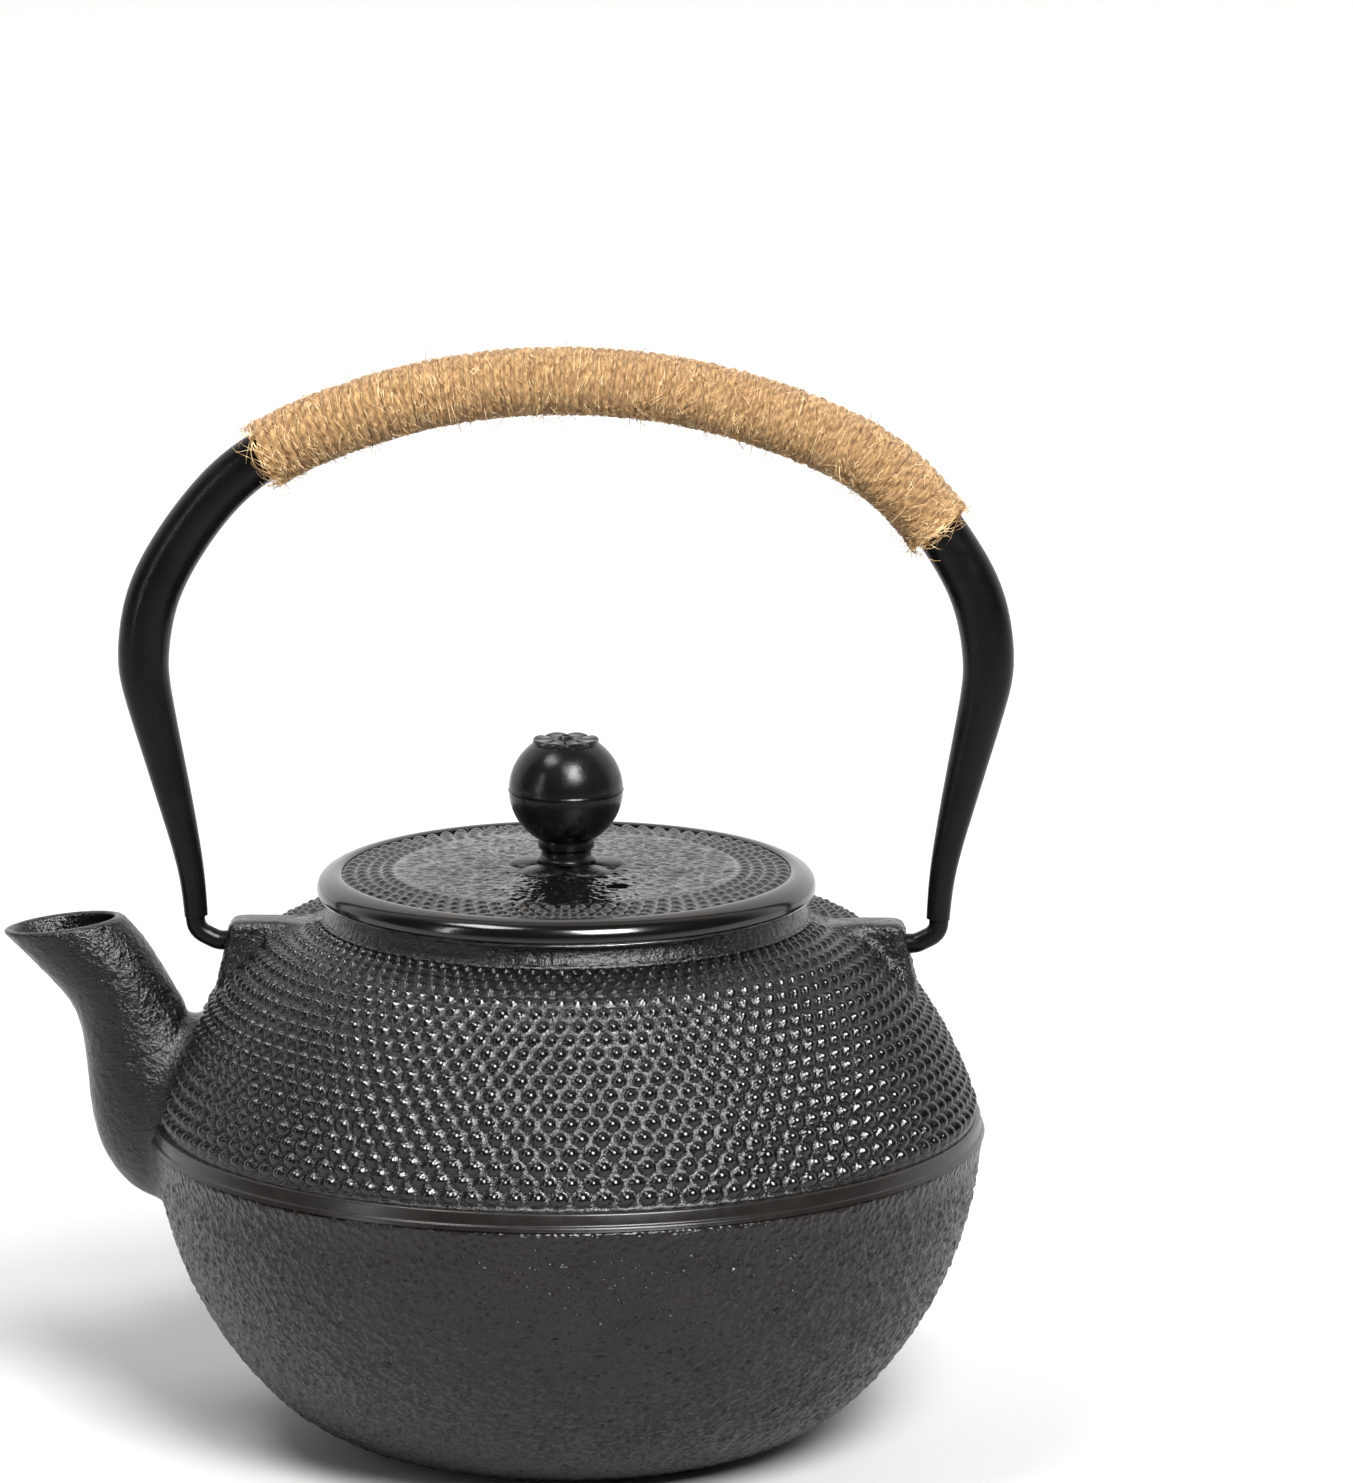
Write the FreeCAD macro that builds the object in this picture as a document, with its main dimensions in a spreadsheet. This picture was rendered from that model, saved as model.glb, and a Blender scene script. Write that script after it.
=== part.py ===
import FreeCAD, Part
import math
import os

import Sketcher
from FreeCAD import Placement, Rotation, Vector

# Cast iron teapot with a hobnail shoulder, a lift-out steel infuser, a lid with a ball knob and
# a tubular bail wound with jute. Origin: centre of the flat foot, on the pot's axis.
# +Z is up, the spout points to -X, and the bail stands in the XZ plane.

doc = FreeCAD.newDocument("Teapot")
sheet = doc.addObject("Spreadsheet::Sheet", "Sizes")

DRIVING_SIZES = [
    # pot casting: all radii are measured from the pot's axis, all heights from the foot
    ("foot_radius", 36.4), ("bowl_turn_radius", 61.1), ("bowl_turn_height", 12.0),
    ("bowl_low_arc", 41.8), ("bowl_high_arc", 76.7), ("bowl_top_radius", 83.0),
    ("ledge_height", 62.4), ("ledge_lip", 0.25), ("ledge_radius", 83.5),
    ("ledge_top_radius", 83.1), ("ledge_band", 3.2),
    ("dome_foot_radius", 81.8), ("dome_foot_height", 66.0),
    ("dome_arc", 80.5), ("shoulder_radius", 61.3), ("shoulder_height", 101.0),
    ("shoulder_arc", 11.2), ("shoulder_slope", 45.0), ("crown_radius", 57.2),
    ("crown_height", 103.6), ("crown_slope", 19.4),
    ("neck_foot_radius", 48.4), ("neck_foot_height", 106.7),
    ("collar_radius", 47.2), ("collar_foot_height", 108.4), ("collar_height", 110.6),
    ("mouth_radius", 44.6), ("mouth_depth", 6.2), ("casting_wall", 3.5), ("foot_wall", 4.2),
    ("bowl_turn_slope", 45.0), ("foot_inset", 3.6),
    # lugs and their blind holes for the bail's hooks
    ("lug_top", 105.4), ("lug_inner", 50.0), ("lug_outer", 67.2), ("lug_toe", 70.4),
    ("lug_toe_height", 90.5), ("lug_width", 9.0), ("lug_edge", 1.2),
    ("pivot_height", 100.75), ("pin_radius", 1.95), ("pin_play", 0.08),
    ("pin_tip", 60.9), ("hole_end", 60.4),
    # spout
    ("spout_wall", 2.2), ("spout_root_wall", 3.2), ("passage_overrun", 2.0),
    # infuser
    ("flange_radius", 49.4), ("flange_height", 0.9), ("flange_edge", 0.4),
    ("basket_radius", 42.9), ("mesh_height", 0.5), ("sheet_gap", 0.1), ("basket_foot", 58.4),
    ("basket_collar", 9.0), ("wall_foot_gap", 1.5), ("wall_top_gap", 2.5),
    ("base_foot_gap", 0.8), ("base_sheet", 0.6), ("band_sheet", 0.7),
    ("band_height", 5.5), ("band_lip", 3.5),
    # lid
    ("lid_radius", 49.8), ("lid_chamfer", 0.9), ("lid_edge_height", 113.6),
    ("lid_edge_arc", 2.6), ("lid_rim_height", 115.7),
    ("lid_rim_radius", 47.3), ("lid_ring_radius", 44.8), ("lid_ring_height", 115.1),
    ("lid_disc_radius", 34.5), ("lid_disc_height", 116.1), ("lid_flat_radius", 13.5),
    ("lid_centre_height", 116.3), ("lid_underside", 113.2), ("skirt_outer", 41.6),
    ("skirt_inner", 39.2), ("skirt_foot", 108.0),
    ("vent_radius", 2.4), ("vent_side", 11.0), ("vent_front", 18.5),
    # knob and its fixings
    ("seat_height", 0.9), ("petal_radius", 4.4), ("petal_centre", 7.7), ("seat_core", 6.6),
    ("knob_radius", 11.4), ("knob_centre", 131.9), ("seam_height", 0.5), ("seam_proud", 0.25),
    ("knob_flat_height", 141.2), ("relief_radius", 6.6), ("relief_top", 142.3),
    ("relief_edge", 0.4), ("neck_radius", 5.0), ("neck_ring_radius", 5.6),
    ("knob_foot_radius", 5.8), ("knob_foot_step", 0.9), ("neck_foot_step", 1.6),
    ("neck_top_step", 2.6), ("neck_ring_step", 3.0), ("seam_edge", 0.15),
    ("screw_radius", 2.4), ("screw_hole", 2.5), ("screw_reach", 11.0),
    ("screw_tip_gap", 0.8), ("screw_chamfer", 0.8), ("screw_head_radius", 4.4),
    ("screw_head_height", 2.6), ("screw_head_edge", 0.9), ("screw_slot", 1.1),
    ("slot_depth", 1.2),
    ("washer_radius", 6.5), ("washer_height", 0.8),
    # bail and grip
    ("bail_wall", 0.4), ("hook_bend", 3.4), ("hook_ease", 4.0), ("hook_slope", 27.0),
    ("hook_shoulder", 69.85), ("hook_root", 114.0), ("hook_root_set", 0.8),
    ("grip_radius", 6.9), ("grip_play", 0.1),
    ("grip_front_reach", 62.5), ("grip_rear_reach", 83.0),
]

# Bail centre line, from the crown down the rear leg: distance from the axis, height, radius.
BAIL_STATIONS = [
    (0.0, 214.3, 4.90), (22.0, 212.4, 4.90), (42.0, 207.1, 4.95), (59.5, 199.2, 5.00),
    (70.5, 189.6, 5.05), (78.0, 179.0, 5.15), (82.4, 169.2, 5.20), (84.0, 159.0, 5.15),
    (83.2, 151.0, 4.80), (80.6, 139.8, 4.08), (77.7, 127.6, 3.35), (75.2, 115.6, 2.65),
    (74.2, 105.8, 2.35),
]

# Spout cross-sections from the root to the lip, each as the two ends of its long axis in the
# XZ plane (lower outer end, upper inner end) and its half width along Y.
SPOUT_SECTIONS = [
    ((-70.0, 49.5), (-66.0, 84.0), 13.0),
    ((-82.5, 48.0), (-74.8, 85.0), 12.6),
    ((-91.0, 54.0), (-76.8, 87.6), 11.6),
    ((-95.2, 64.0), (-78.0, 90.0), 10.6),
    ((-96.6, 76.5), (-79.6, 92.8), 9.9),
    ((-98.4, 85.8), (-82.0, 96.8), 9.5),
    ((-103.2, 92.6), (-85.0, 101.4), 9.3),
    ((-113.2, 102.8), (-89.0, 105.9), 9.2),
]
SPOUT_ELBOW = 4             # section shared by the two lofts of the spout
SPOUT_RINGS_PER_SPAN = 3
BAIL_RINGS = 30             # rings from the crown to a leg's end
LINE_END_GAP = 0.01         # keeps the last ring just short of the line's own end
OVERRUN = 1.0               # how far a cut runs past the face that it opens


def fill_sheet():
    for row, (alias, value) in enumerate(DRIVING_SIZES, start=1):
        sheet.set("A%d" % row, alias.replace("_", " "))
        sheet.set("B%d" % row, str(value))
        sheet.setAlias("B%d" % row, alias)
    doc.recompute()


class Size:
    """A number together with the spreadsheet expression that it comes from."""

    def __init__(self, value, text=None):
        self.value = float(value)
        self.text = text or "%g mm" % value

    def _join(self, other, sign):
        other = other if isinstance(other, Size) else Size(other)
        value = self.value + other.value if sign == "+" else self.value - other.value
        return Size(value, "(%s %s %s)" % (self.text, sign, other.text))

    def __add__(self, other):
        return self._join(other, "+")

    def __sub__(self, other):
        return self._join(other, "-")


def size(alias):
    return Size(sheet.get(alias), "%s.%s * 1 mm" % (sheet.Name, alias))


def number(alias):
    return float(sheet.get(alias))


def bind(target, path, wanted):
    target.setExpression(path, wanted.text)


def origin_plane(body, role):
    return next(item for item in body.Origin.OriginFeatures if item.Role == role)


def new_sketch(body, name, role="XZ_Plane"):
    sketch = body.newObject("Sketcher::SketchObject", name)
    sketch.AttachmentSupport = (origin_plane(body, role), [""])
    sketch.MapMode = "FlatFace"
    return sketch


def new_body(label):
    body = doc.addObject("PartDesign::Body", label)
    body.Label = label
    return body


def arc_between(start, end, radius, left):
    """Circle arc from start to end; left tells on which side of the chord its centre lies."""
    chord = end - start
    reach = math.sqrt(radius ** 2 - (chord.Length / 2) ** 2)
    side = Vector(-chord.y, chord.x, 0).normalize() * (reach if left else -reach)
    centre = (start + end) * 0.5 + side
    first, last = (start, end) if left else (end, start)
    first_angle = math.atan2(first.y - centre.y, first.x - centre.x)
    last_angle = math.atan2(last.y - centre.y, last.x - centre.x)
    circle = Part.Circle(centre, Vector(0, 0, 1), radius)
    return Part.ArcOfCircle(circle, first_angle, last_angle)


def constrain(sketch, kind, geometry, point, wanted):
    index = sketch.addConstraint(Sketcher.Constraint(kind, geometry, point, wanted.value))
    sketch.setExpression("Constraints[%d]" % index, wanted.text)


def pin_point(sketch, geometry, point, x, y):
    """Hold a corner at its two sizes; a zero puts it on the sketch's own axis."""
    for kind, axis, wanted in (("DistanceX", -2, x), ("DistanceY", -1, y)):
        if wanted.value == 0.0:
            sketch.addConstraint(Sketcher.Constraint("PointOnObject", geometry, point, axis))
        else:
            constrain(sketch, kind, geometry, point, wanted)


def draw_outline(sketch, corners):
    """Closed outline. A corner is (x, y) or (x, y, arc radius of the edge after it, left)."""
    points = [Vector(corner[0].value, corner[1].value, 0) for corner in corners]
    ends = []
    for index, corner in enumerate(corners):
        start, end = points[index], points[(index + 1) % len(points)]
        if len(corner) == 2:
            geometry = sketch.addGeometry(Part.LineSegment(start, end), False)
            ends.append((geometry, 1, 2))
        else:
            radius, left = corner[2], corner[3]
            geometry = sketch.addGeometry(arc_between(start, end, radius.value, left), False)
            ends.append((geometry, 1, 2) if left else (geometry, 2, 1))
    for index, (geometry, first, last) in enumerate(ends):
        following, following_first, _ = ends[(index + 1) % len(ends)]
        joint = Sketcher.Constraint("Coincident", geometry, last, following, following_first)
        sketch.addConstraint(joint)
        pin_point(sketch, geometry, first, corners[index][0], corners[index][1])
    for (geometry, _, _), corner in zip(ends, corners):
        if len(corner) > 2:
            index = sketch.addConstraint(Sketcher.Constraint("Radius", geometry, corner[2].value))
            sketch.setExpression("Constraints[%d]" % index, corner[2].text)


def turned(body, name, corners, kind="PartDesign::Revolution"):
    """Outline turned once round the Z axis, as material or, for a Groove, as a cut."""
    sketch = new_sketch(body, name + "_outline")
    draw_outline(sketch, corners)
    feature = body.newObject(kind, name)
    feature.Profile = sketch
    feature.ReferenceAxis = (sketch, ["V_Axis"])
    feature.Angle = 360
    doc.recompute()
    return feature


def circle_sketch(body, name, radius, x, y, role="XY_Plane"):
    sketch = new_sketch(body, name, role)
    centre = Vector(x.value, y.value, 0)
    geometry = sketch.addGeometry(Part.Circle(centre, Vector(0, 0, 1), radius.value), False)
    pin_point(sketch, geometry, 3, x, y)
    index = sketch.addConstraint(Sketcher.Constraint("Radius", geometry, radius.value))
    sketch.setExpression("Constraints[%d]" % index, radius.text)
    return sketch


def through_hole(body, name, radius, x, y):
    """Hole along Z through the whole of a body, checked by the volume that it removes."""
    before = body.Shape.Volume
    pocket = body.newObject("PartDesign::Pocket", name)
    pocket.Profile = circle_sketch(body, name + "_circle", radius, x, y)
    pocket.Type = "ThroughAll"
    pocket.Midplane = True
    doc.recompute()
    if body.Shape.Volume >= before - 0.1:
        raise RuntimeError(name + " removed nothing")


ZERO = Size(0.0)


def pot_outline():
    return [
        (ZERO, ZERO),
        (size("foot_radius"), ZERO, size("bowl_low_arc"), True),
        (size("bowl_turn_radius"), size("bowl_turn_height"), size("bowl_high_arc"), True),
        (size("bowl_top_radius"), size("ledge_height")),
        (size("ledge_radius"), size("ledge_height") + size("ledge_lip")),
        (size("ledge_top_radius"), size("ledge_height") + size("ledge_band")),
        (size("dome_foot_radius"), size("dome_foot_height"), size("dome_arc"), True),
        (size("shoulder_radius"), size("shoulder_height"), size("shoulder_arc"), True),
        (size("crown_radius"), size("crown_height")),
        (size("neck_foot_radius"), size("neck_foot_height")),
        (size("collar_radius"), size("collar_foot_height")),
        (size("collar_radius"), size("collar_height")),
        (ZERO, size("collar_height")),
    ]


def cavity_outline():
    """Inside of the pot: the outer outline set in by the wall, under a straight mouth."""
    wall = size("casting_wall")

    def inward(name):
        """How far the wall moves a point towards the axis, and along it, at a slope."""
        slope = math.radians(number(name))
        return wall.value * math.sin(slope), wall.value * math.cos(slope)

    turn_in, turn_up = inward("bowl_turn_slope")
    shoulder_in, shoulder_down = inward("shoulder_slope")
    crown_in, crown_down = inward("crown_slope")
    return [
        (ZERO, size("foot_wall")),
        (size("foot_radius") - size("foot_inset"), size("foot_wall"),
         size("bowl_low_arc") - wall, True),
        (size("bowl_turn_radius") - turn_in, size("bowl_turn_height") + turn_up,
         size("bowl_high_arc") - wall, True),
        (size("bowl_top_radius") - wall, size("ledge_height")),
        (size("dome_foot_radius") - wall, size("dome_foot_height"), size("dome_arc") - wall, True),
        (size("shoulder_radius") - shoulder_in, size("shoulder_height") - shoulder_down,
         size("shoulder_arc") - wall, True),
        (size("crown_radius") - crown_in, size("crown_height") - crown_down),
        (size("neck_foot_radius") - crown_in, size("neck_foot_height") - crown_down),
        (size("mouth_radius"), size("collar_height") - size("mouth_depth")),
        (size("mouth_radius"), size("collar_height") + OVERRUN),
        (ZERO, size("collar_height") + OVERRUN),
    ]


def smooth_line(points):
    """Spline through the points, numbered 0, 1, 2... so that lines can be read side by side."""
    line = Part.BSplineCurve()
    line.interpolate(Points=points, Parameters=[float(index) for index in range(len(points))])
    return line


def section_ellipse(name, low, high, inset):
    """Elliptical spout ring: low and high hold the ends of its long axis, low.y its half width."""
    reach = Vector(high.x - low.x, 0, high.z - low.z)
    ellipse = doc.addObject("Part::Ellipse", name)
    ellipse.MajorRadius = reach.Length / 2 - inset
    ellipse.MinorRadius = low.y - inset
    turn = math.degrees(math.atan2(-reach.z, reach.x))
    middle = Vector((low.x + high.x) / 2, 0, (low.z + high.z) / 2)
    ellipse.Placement = Placement(middle, Rotation(Vector(0, 1, 0), turn))
    return ellipse


def loft(name, sections):
    blend = doc.addObject("Part::Loft", name)
    blend.Sections = sections
    blend.Solid = True
    blend.Ruled = True
    return blend


def spout_blend(name, wall_at, lift=0.0):
    """Spout set in by a wall, as two lofts that share the ring at the elbow."""
    low_line = smooth_line([Vector(low[0], width, low[1]) for low, _, width in SPOUT_SECTIONS])
    high_line = smooth_line([Vector(high[0], width, high[1]) for _, high, width in SPOUT_SECTIONS])
    last = len(SPOUT_SECTIONS) - 1
    rings = []
    for step in range(last * SPOUT_RINGS_PER_SPAN + 1):
        place = step / SPOUT_RINGS_PER_SPAN
        rings.append(section_ellipse("%s_ring_%d" % (name, step), low_line.value(place),
                                     high_line.value(place), wall_at(place / last)))
    if lift:
        rise = Vector(-lift, 0, lift)
        rings.append(section_ellipse(name + "_ring_above", low_line.value(last) + rise,
                                     high_line.value(last) + rise, wall_at(1.0)))
    elbow = SPOUT_ELBOW * SPOUT_RINGS_PER_SPAN
    return join(name, [loft(name + "_root", rings[:elbow + 1]), loft(name + "_neck", rings[elbow:])])


def spout_skin():
    return spout_blend("spout_skin", lambda share: 0.0)


def spout_passage():
    """Bore of the spout: its wall thins evenly from the root to the lip."""
    root_wall, lip_wall = number("spout_root_wall"), number("spout_wall")
    return spout_blend("spout_passage", lambda share: root_wall + (lip_wall - root_wall) * share,
                       lift=number("passage_overrun"))


def lug_block():
    """Flat-topped horn on the shoulder, padded both ways from the XZ plane."""
    body = new_body("lug_block")
    sketch = new_sketch(body, "lug_outline")
    draw_outline(sketch, [
        (size("lug_inner"), size("lug_toe_height")),
        (size("lug_toe"), size("lug_toe_height")),
        (size("lug_outer"), size("lug_top")),
        (size("lug_inner"), size("lug_top")),
    ])
    pad = body.newObject("PartDesign::Pad", "lug_pad")
    pad.Profile = sketch
    pad.Midplane = True
    bind(pad, "Length", size("lug_width"))
    doc.recompute()
    edges = ["Edge%d" % (index + 1) for index, edge in enumerate(pad.Shape.Edges)
             if is_lug_edge(edge)]
    rounding = body.newObject("PartDesign::Fillet", "lug_rounding")
    rounding.Base = (pad, edges)
    bind(rounding, "Radius", size("lug_edge"))
    doc.recompute()
    return body


def is_lug_edge(edge):
    """True for the edges round the lug's top and outer face, not the ones inside the dome."""
    middle = edge.CenterOfMass
    on_top = middle.z > number("lug_top") - 0.1 and middle.x > number("lug_inner") + 0.1
    on_face = middle.z > number("lug_toe_height") + 0.1 and middle.x > number("lug_outer")
    return on_top or on_face


def hook_hole(side):
    drill = doc.addObject("Part::Cylinder", "hook_hole_%s" % ("rear" if side > 0 else "front"))
    bind(drill, "Radius", size("pin_radius") + size("pin_play"))
    drill.Height = number("lug_toe") - number("lug_inner")
    start = Vector(side * number("hole_end"), 0, number("pivot_height"))
    drill.Placement = Placement(start, Rotation(Vector(0, 0, 1), Vector(side, 0, 0)))
    return drill


def join(name, shapes):
    union = doc.addObject("Part::MultiFuse", name)
    union.Shapes = shapes
    return union


def cut(label, base, tool):
    result = doc.addObject("Part::Cut", label)
    result.Label = label
    result.Base = base
    result.Tool = tool
    return result


def make_casting():
    """The pot's shell with its lugs, and the spout, which meets the shell on the dome's skin."""
    blank = new_body("pot_blank")
    turned(blank, "pot_turning", pot_outline())
    cavity = new_body("pot_cavity")
    turned(cavity, "cavity_turning", cavity_outline())
    rear_lug = lug_block()
    front_lug = doc.addObject("Part::Mirroring", "front_lug")
    front_lug.Source = rear_lug
    front_lug.Normal = Vector(1, 0, 0)
    passage = spout_passage()
    solid = join("pot_solid", [blank, rear_lug, front_lug])
    hollow = join("pot_hollow", [cavity, passage, hook_hole(1), hook_hole(-1)])
    spout_void = join("spout_void", [blank, passage])
    return [cut("pot_body", solid, hollow), cut("spout", spout_skin(), spout_void)]


def make_infuser():
    collar_top = size("collar_height")
    outer = size("basket_radius")
    mesh = size("mesh_height")
    ring_inner = outer + size("sheet_gap")
    ring_outer = ring_inner + mesh
    foot = size("basket_foot")
    edge = size("flange_edge")
    wall_foot, wall_top = foot + size("wall_foot_gap"), collar_top - size("wall_top_gap")
    base_foot = foot + size("base_foot_gap")
    base_top = base_foot + size("base_sheet")
    lip_inner, lip_top = outer - size("band_lip"), foot + size("band_sheet")

    rim = new_body("infuser_rim")
    turned(rim, "infuser_rim_turning", [
        (ring_inner, collar_top - size("basket_collar")),
        (ring_outer, collar_top - size("basket_collar")),
        (ring_outer, collar_top),
        (size("flange_radius") - edge, collar_top),
        (size("flange_radius"), collar_top + edge),
        (size("flange_radius") - edge, collar_top + size("flange_height")),
        (ring_inner, collar_top + size("flange_height")),
    ])
    wall = new_body("infuser_mesh_wall")
    turned(wall, "mesh_wall_turning", [
        (outer - mesh, wall_foot), (outer, wall_foot),
        (outer, wall_top), (outer - mesh, wall_top),
    ])
    base = new_body("infuser_mesh_base")
    turned(base, "mesh_base_turning", [
        (ZERO, base_foot), (outer, base_foot), (outer, base_top), (ZERO, base_top),
    ])
    band = new_body("infuser_base_band")
    turned(band, "base_band_turning", [
        (lip_inner, foot), (ring_outer, foot),
        (ring_outer, foot + size("band_height")), (ring_inner, foot + size("band_height")),
        (ring_inner, lip_top), (lip_inner, lip_top),
    ])
    return [rim, wall, base, band]


def lid_outline():
    seat = size("collar_height") + size("flange_height")
    return [
        (ZERO, size("lid_underside")),
        (size("skirt_inner"), size("lid_underside")),
        (size("skirt_inner"), size("skirt_foot")),
        (size("skirt_outer"), size("skirt_foot")),
        (size("skirt_outer"), seat),
        (size("lid_radius") - size("lid_chamfer"), seat),
        (size("lid_radius"), seat + size("lid_chamfer")),
        (size("lid_radius"), size("lid_edge_height"), size("lid_edge_arc"), True),
        (size("lid_rim_radius"), size("lid_rim_height")),
        (size("lid_ring_radius"), size("lid_ring_height")),
        (size("lid_disc_radius"), size("lid_disc_height")),
        (size("lid_flat_radius"), size("lid_centre_height")),
        (ZERO, size("lid_centre_height")),
    ]


def make_lid():
    lid = new_body("lid")
    turned(lid, "lid_turning", lid_outline())
    through_hole(lid, "vent_hole", size("vent_radius"), size("vent_side"), ZERO - size("vent_front"))
    through_hole(lid, "screw_way", size("screw_hole"), ZERO, ZERO)
    return lid


def make_knob_seat():
    """Five-petalled blossom plate: a round core with one petal pad repeated round it."""
    body = new_body("knob_seat")
    bind(body, ".Placement.Base.z", size("lid_centre_height"))
    core = body.newObject("PartDesign::Pad", "seat_core_pad")
    core.Profile = circle_sketch(body, "seat_core_circle", size("seat_core"), ZERO, ZERO)
    bind(core, "Length", size("seat_height"))
    petal = body.newObject("PartDesign::Pad", "petal_pad")
    petal_circle = circle_sketch(body, "petal_circle", size("petal_radius"), ZERO,
                                 size("petal_centre"))
    petal.Profile = petal_circle
    bind(petal, "Length", size("seat_height"))
    doc.recompute()
    petals = body.newObject("PartDesign::PolarPattern", "petals")
    petals.Originals = [petal]
    petals.Axis = (petal_circle, ["N_Axis"])
    petals.Angle = 360
    petals.Occurrences = 5
    body.Tip = petals
    doc.recompute()
    through_hole(body, "seat_way", size("screw_hole"), ZERO, ZERO)
    return body


def knob_outline():
    foot = size("lid_centre_height") + size("seat_height")
    centre, radius = size("knob_centre"), size("knob_radius")
    half_seam = number("seam_height") / 2
    neck_top = centre - math.sqrt(number("knob_radius") ** 2 - number("neck_ring_radius") ** 2)
    seam_side = Size(math.sqrt(number("knob_radius") ** 2 - half_seam ** 2))
    seam_rim = radius + size("seam_proud")
    relief_edge = size("relief_edge")
    return [
        (ZERO, foot),
        (size("knob_foot_radius"), foot),
        (size("knob_foot_radius"), foot + size("knob_foot_step")),
        (size("neck_radius"), foot + size("neck_foot_step")),
        (size("neck_radius"), foot + size("neck_top_step")),
        (size("neck_ring_radius"), foot + size("neck_ring_step")),
        (size("neck_ring_radius"), neck_top, radius, True),
        (seam_side, centre - half_seam),
        (seam_rim, centre - half_seam + size("seam_edge")),
        (seam_rim, centre + half_seam - size("seam_edge")),
        (seam_side, centre + half_seam, radius, True),
        (size("relief_radius"), size("knob_flat_height")),
        (size("relief_radius"), size("relief_top") - relief_edge),
        (size("relief_radius") - relief_edge, size("relief_top")),
        (ZERO, size("relief_top")),
    ]


def make_knob():
    knob = new_body("knob")
    turned(knob, "knob_turning", knob_outline())
    before = knob.Shape.Volume
    foot = size("lid_centre_height") + size("seat_height")
    turned(knob, "knob_bore", [
        (ZERO, foot - OVERRUN), (size("screw_hole"), foot - OVERRUN),
        (size("screw_hole"), foot + size("screw_reach")), (ZERO, foot + size("screw_reach")),
    ], "PartDesign::Groove")
    if knob.Shape.Volume >= before - 0.1:
        raise RuntimeError("knob_bore removed nothing")
    return knob


def make_knob_fixings():
    under = size("lid_underside")
    washer_foot = under - size("washer_height")
    head_foot = washer_foot - size("screw_head_height")
    bore_end = size("lid_centre_height") + size("seat_height") + size("screw_reach")
    tip = bore_end - size("screw_tip_gap")
    chamfer = size("screw_chamfer")

    washer = new_body("knob_washer")
    turned(washer, "washer_turning", [
        (size("screw_hole"), washer_foot), (size("washer_radius"), washer_foot),
        (size("washer_radius"), under), (size("screw_hole"), under),
    ])
    screw = new_body("knob_screw")
    turned(screw, "screw_turning", [
        (ZERO, head_foot), (size("screw_head_radius") - chamfer, head_foot),
        (size("screw_head_radius"), head_foot + size("screw_head_edge")),
        (size("screw_head_radius"), washer_foot),
        (size("screw_radius"), washer_foot), (size("screw_radius"), tip - chamfer),
        (size("screw_radius") - chamfer, tip), (ZERO, tip),
    ])
    slot_sketch = new_sketch(screw, "slot_outline")
    half = size("screw_slot").value / 2
    draw_outline(slot_sketch, [
        (Size(-half), head_foot - OVERRUN), (Size(half), head_foot - OVERRUN),
        (Size(half), head_foot + size("slot_depth")), (Size(-half), head_foot + size("slot_depth")),
    ])
    before = screw.Shape.Volume
    slot = screw.newObject("PartDesign::Pocket", "screw_slot_cut")
    slot.Profile = slot_sketch
    slot.Type = "ThroughAll"
    slot.Midplane = True
    doc.recompute()
    if screw.Shape.Volume >= before - 0.1:
        raise RuntimeError("screw_slot_cut removed nothing")
    return [washer, screw]


def bail_line():
    """Whole bail as one smooth line whose X and Z are its centre and whose Y is its radius."""
    rear = [Vector(x, radius, z) for x, z, radius in BAIL_STATIONS]
    front = [Vector(-x, radius, z) for x, z, radius in reversed(BAIL_STATIONS[1:])]
    return smooth_line(front + rear)


def rear_places(line, reach):
    """Evenly spaced places on the line, from the crown down the rear leg as far as reach."""
    crown = float(len(BAIL_STATIONS) - 1)
    count = max(2, round(BAIL_RINGS * reach / line.length(crown, 2 * crown)))
    return [line.parameterAtDistance(reach * step / count, crown) for step in range(count + 1)]


def mirrored_tube(name, line, rear_reach, front_reach, radius_at):
    """Tube round the line: the rear stretch lofted, the front one lofted and mirrored."""
    halves = []
    for end, reach in (("rear", rear_reach), ("front", front_reach)):
        rings = []
        for index, place in enumerate(rear_places(line, reach)):
            here, ahead = line.value(place), line.tangent(place)[0]
            ring = doc.addObject("Part::Circle", "%s_%s_ring_%d" % (name, end, index))
            ring.Radius = radius_at(here.y)
            turn = math.degrees(math.atan2(ahead.x, ahead.z))
            ring.Placement = Placement(Vector(here.x, 0, here.z), Rotation(Vector(0, 1, 0), turn))
            rings.append(ring)
        halves.append(loft("%s_%s" % (name, end), rings))
    front = doc.addObject("Part::Mirroring", name + "_front_mirrored")
    front.Source = halves[1]
    front.Normal = Vector(1, 0, 0)
    return join(name, [halves[0], front])


def make_bail_arch(line):
    crown = float(len(BAIL_STATIONS) - 1)
    reach = line.length(crown, 2 * crown) - LINE_END_GAP
    wall = number("bail_wall")
    skin = mirrored_tube("bail_skin", line, reach, reach, lambda radius: radius)
    core = mirrored_tube("bail_core", line, reach, reach, lambda radius: radius - wall)
    return cut("bail_arch", skin, core)


def make_grip(line):
    """Sleeve of wound twine round the crown, set a little towards the rear."""
    rear, front = number("grip_rear_reach"), number("grip_front_reach")
    outer, play = number("grip_radius"), number("grip_play")
    skin = mirrored_tube("grip_skin", line, rear, front, lambda radius: outer)
    bore = mirrored_tube("grip_bore", line, rear, front, lambda radius: radius + play)
    return cut("jute_wrap", skin, bore)


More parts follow.
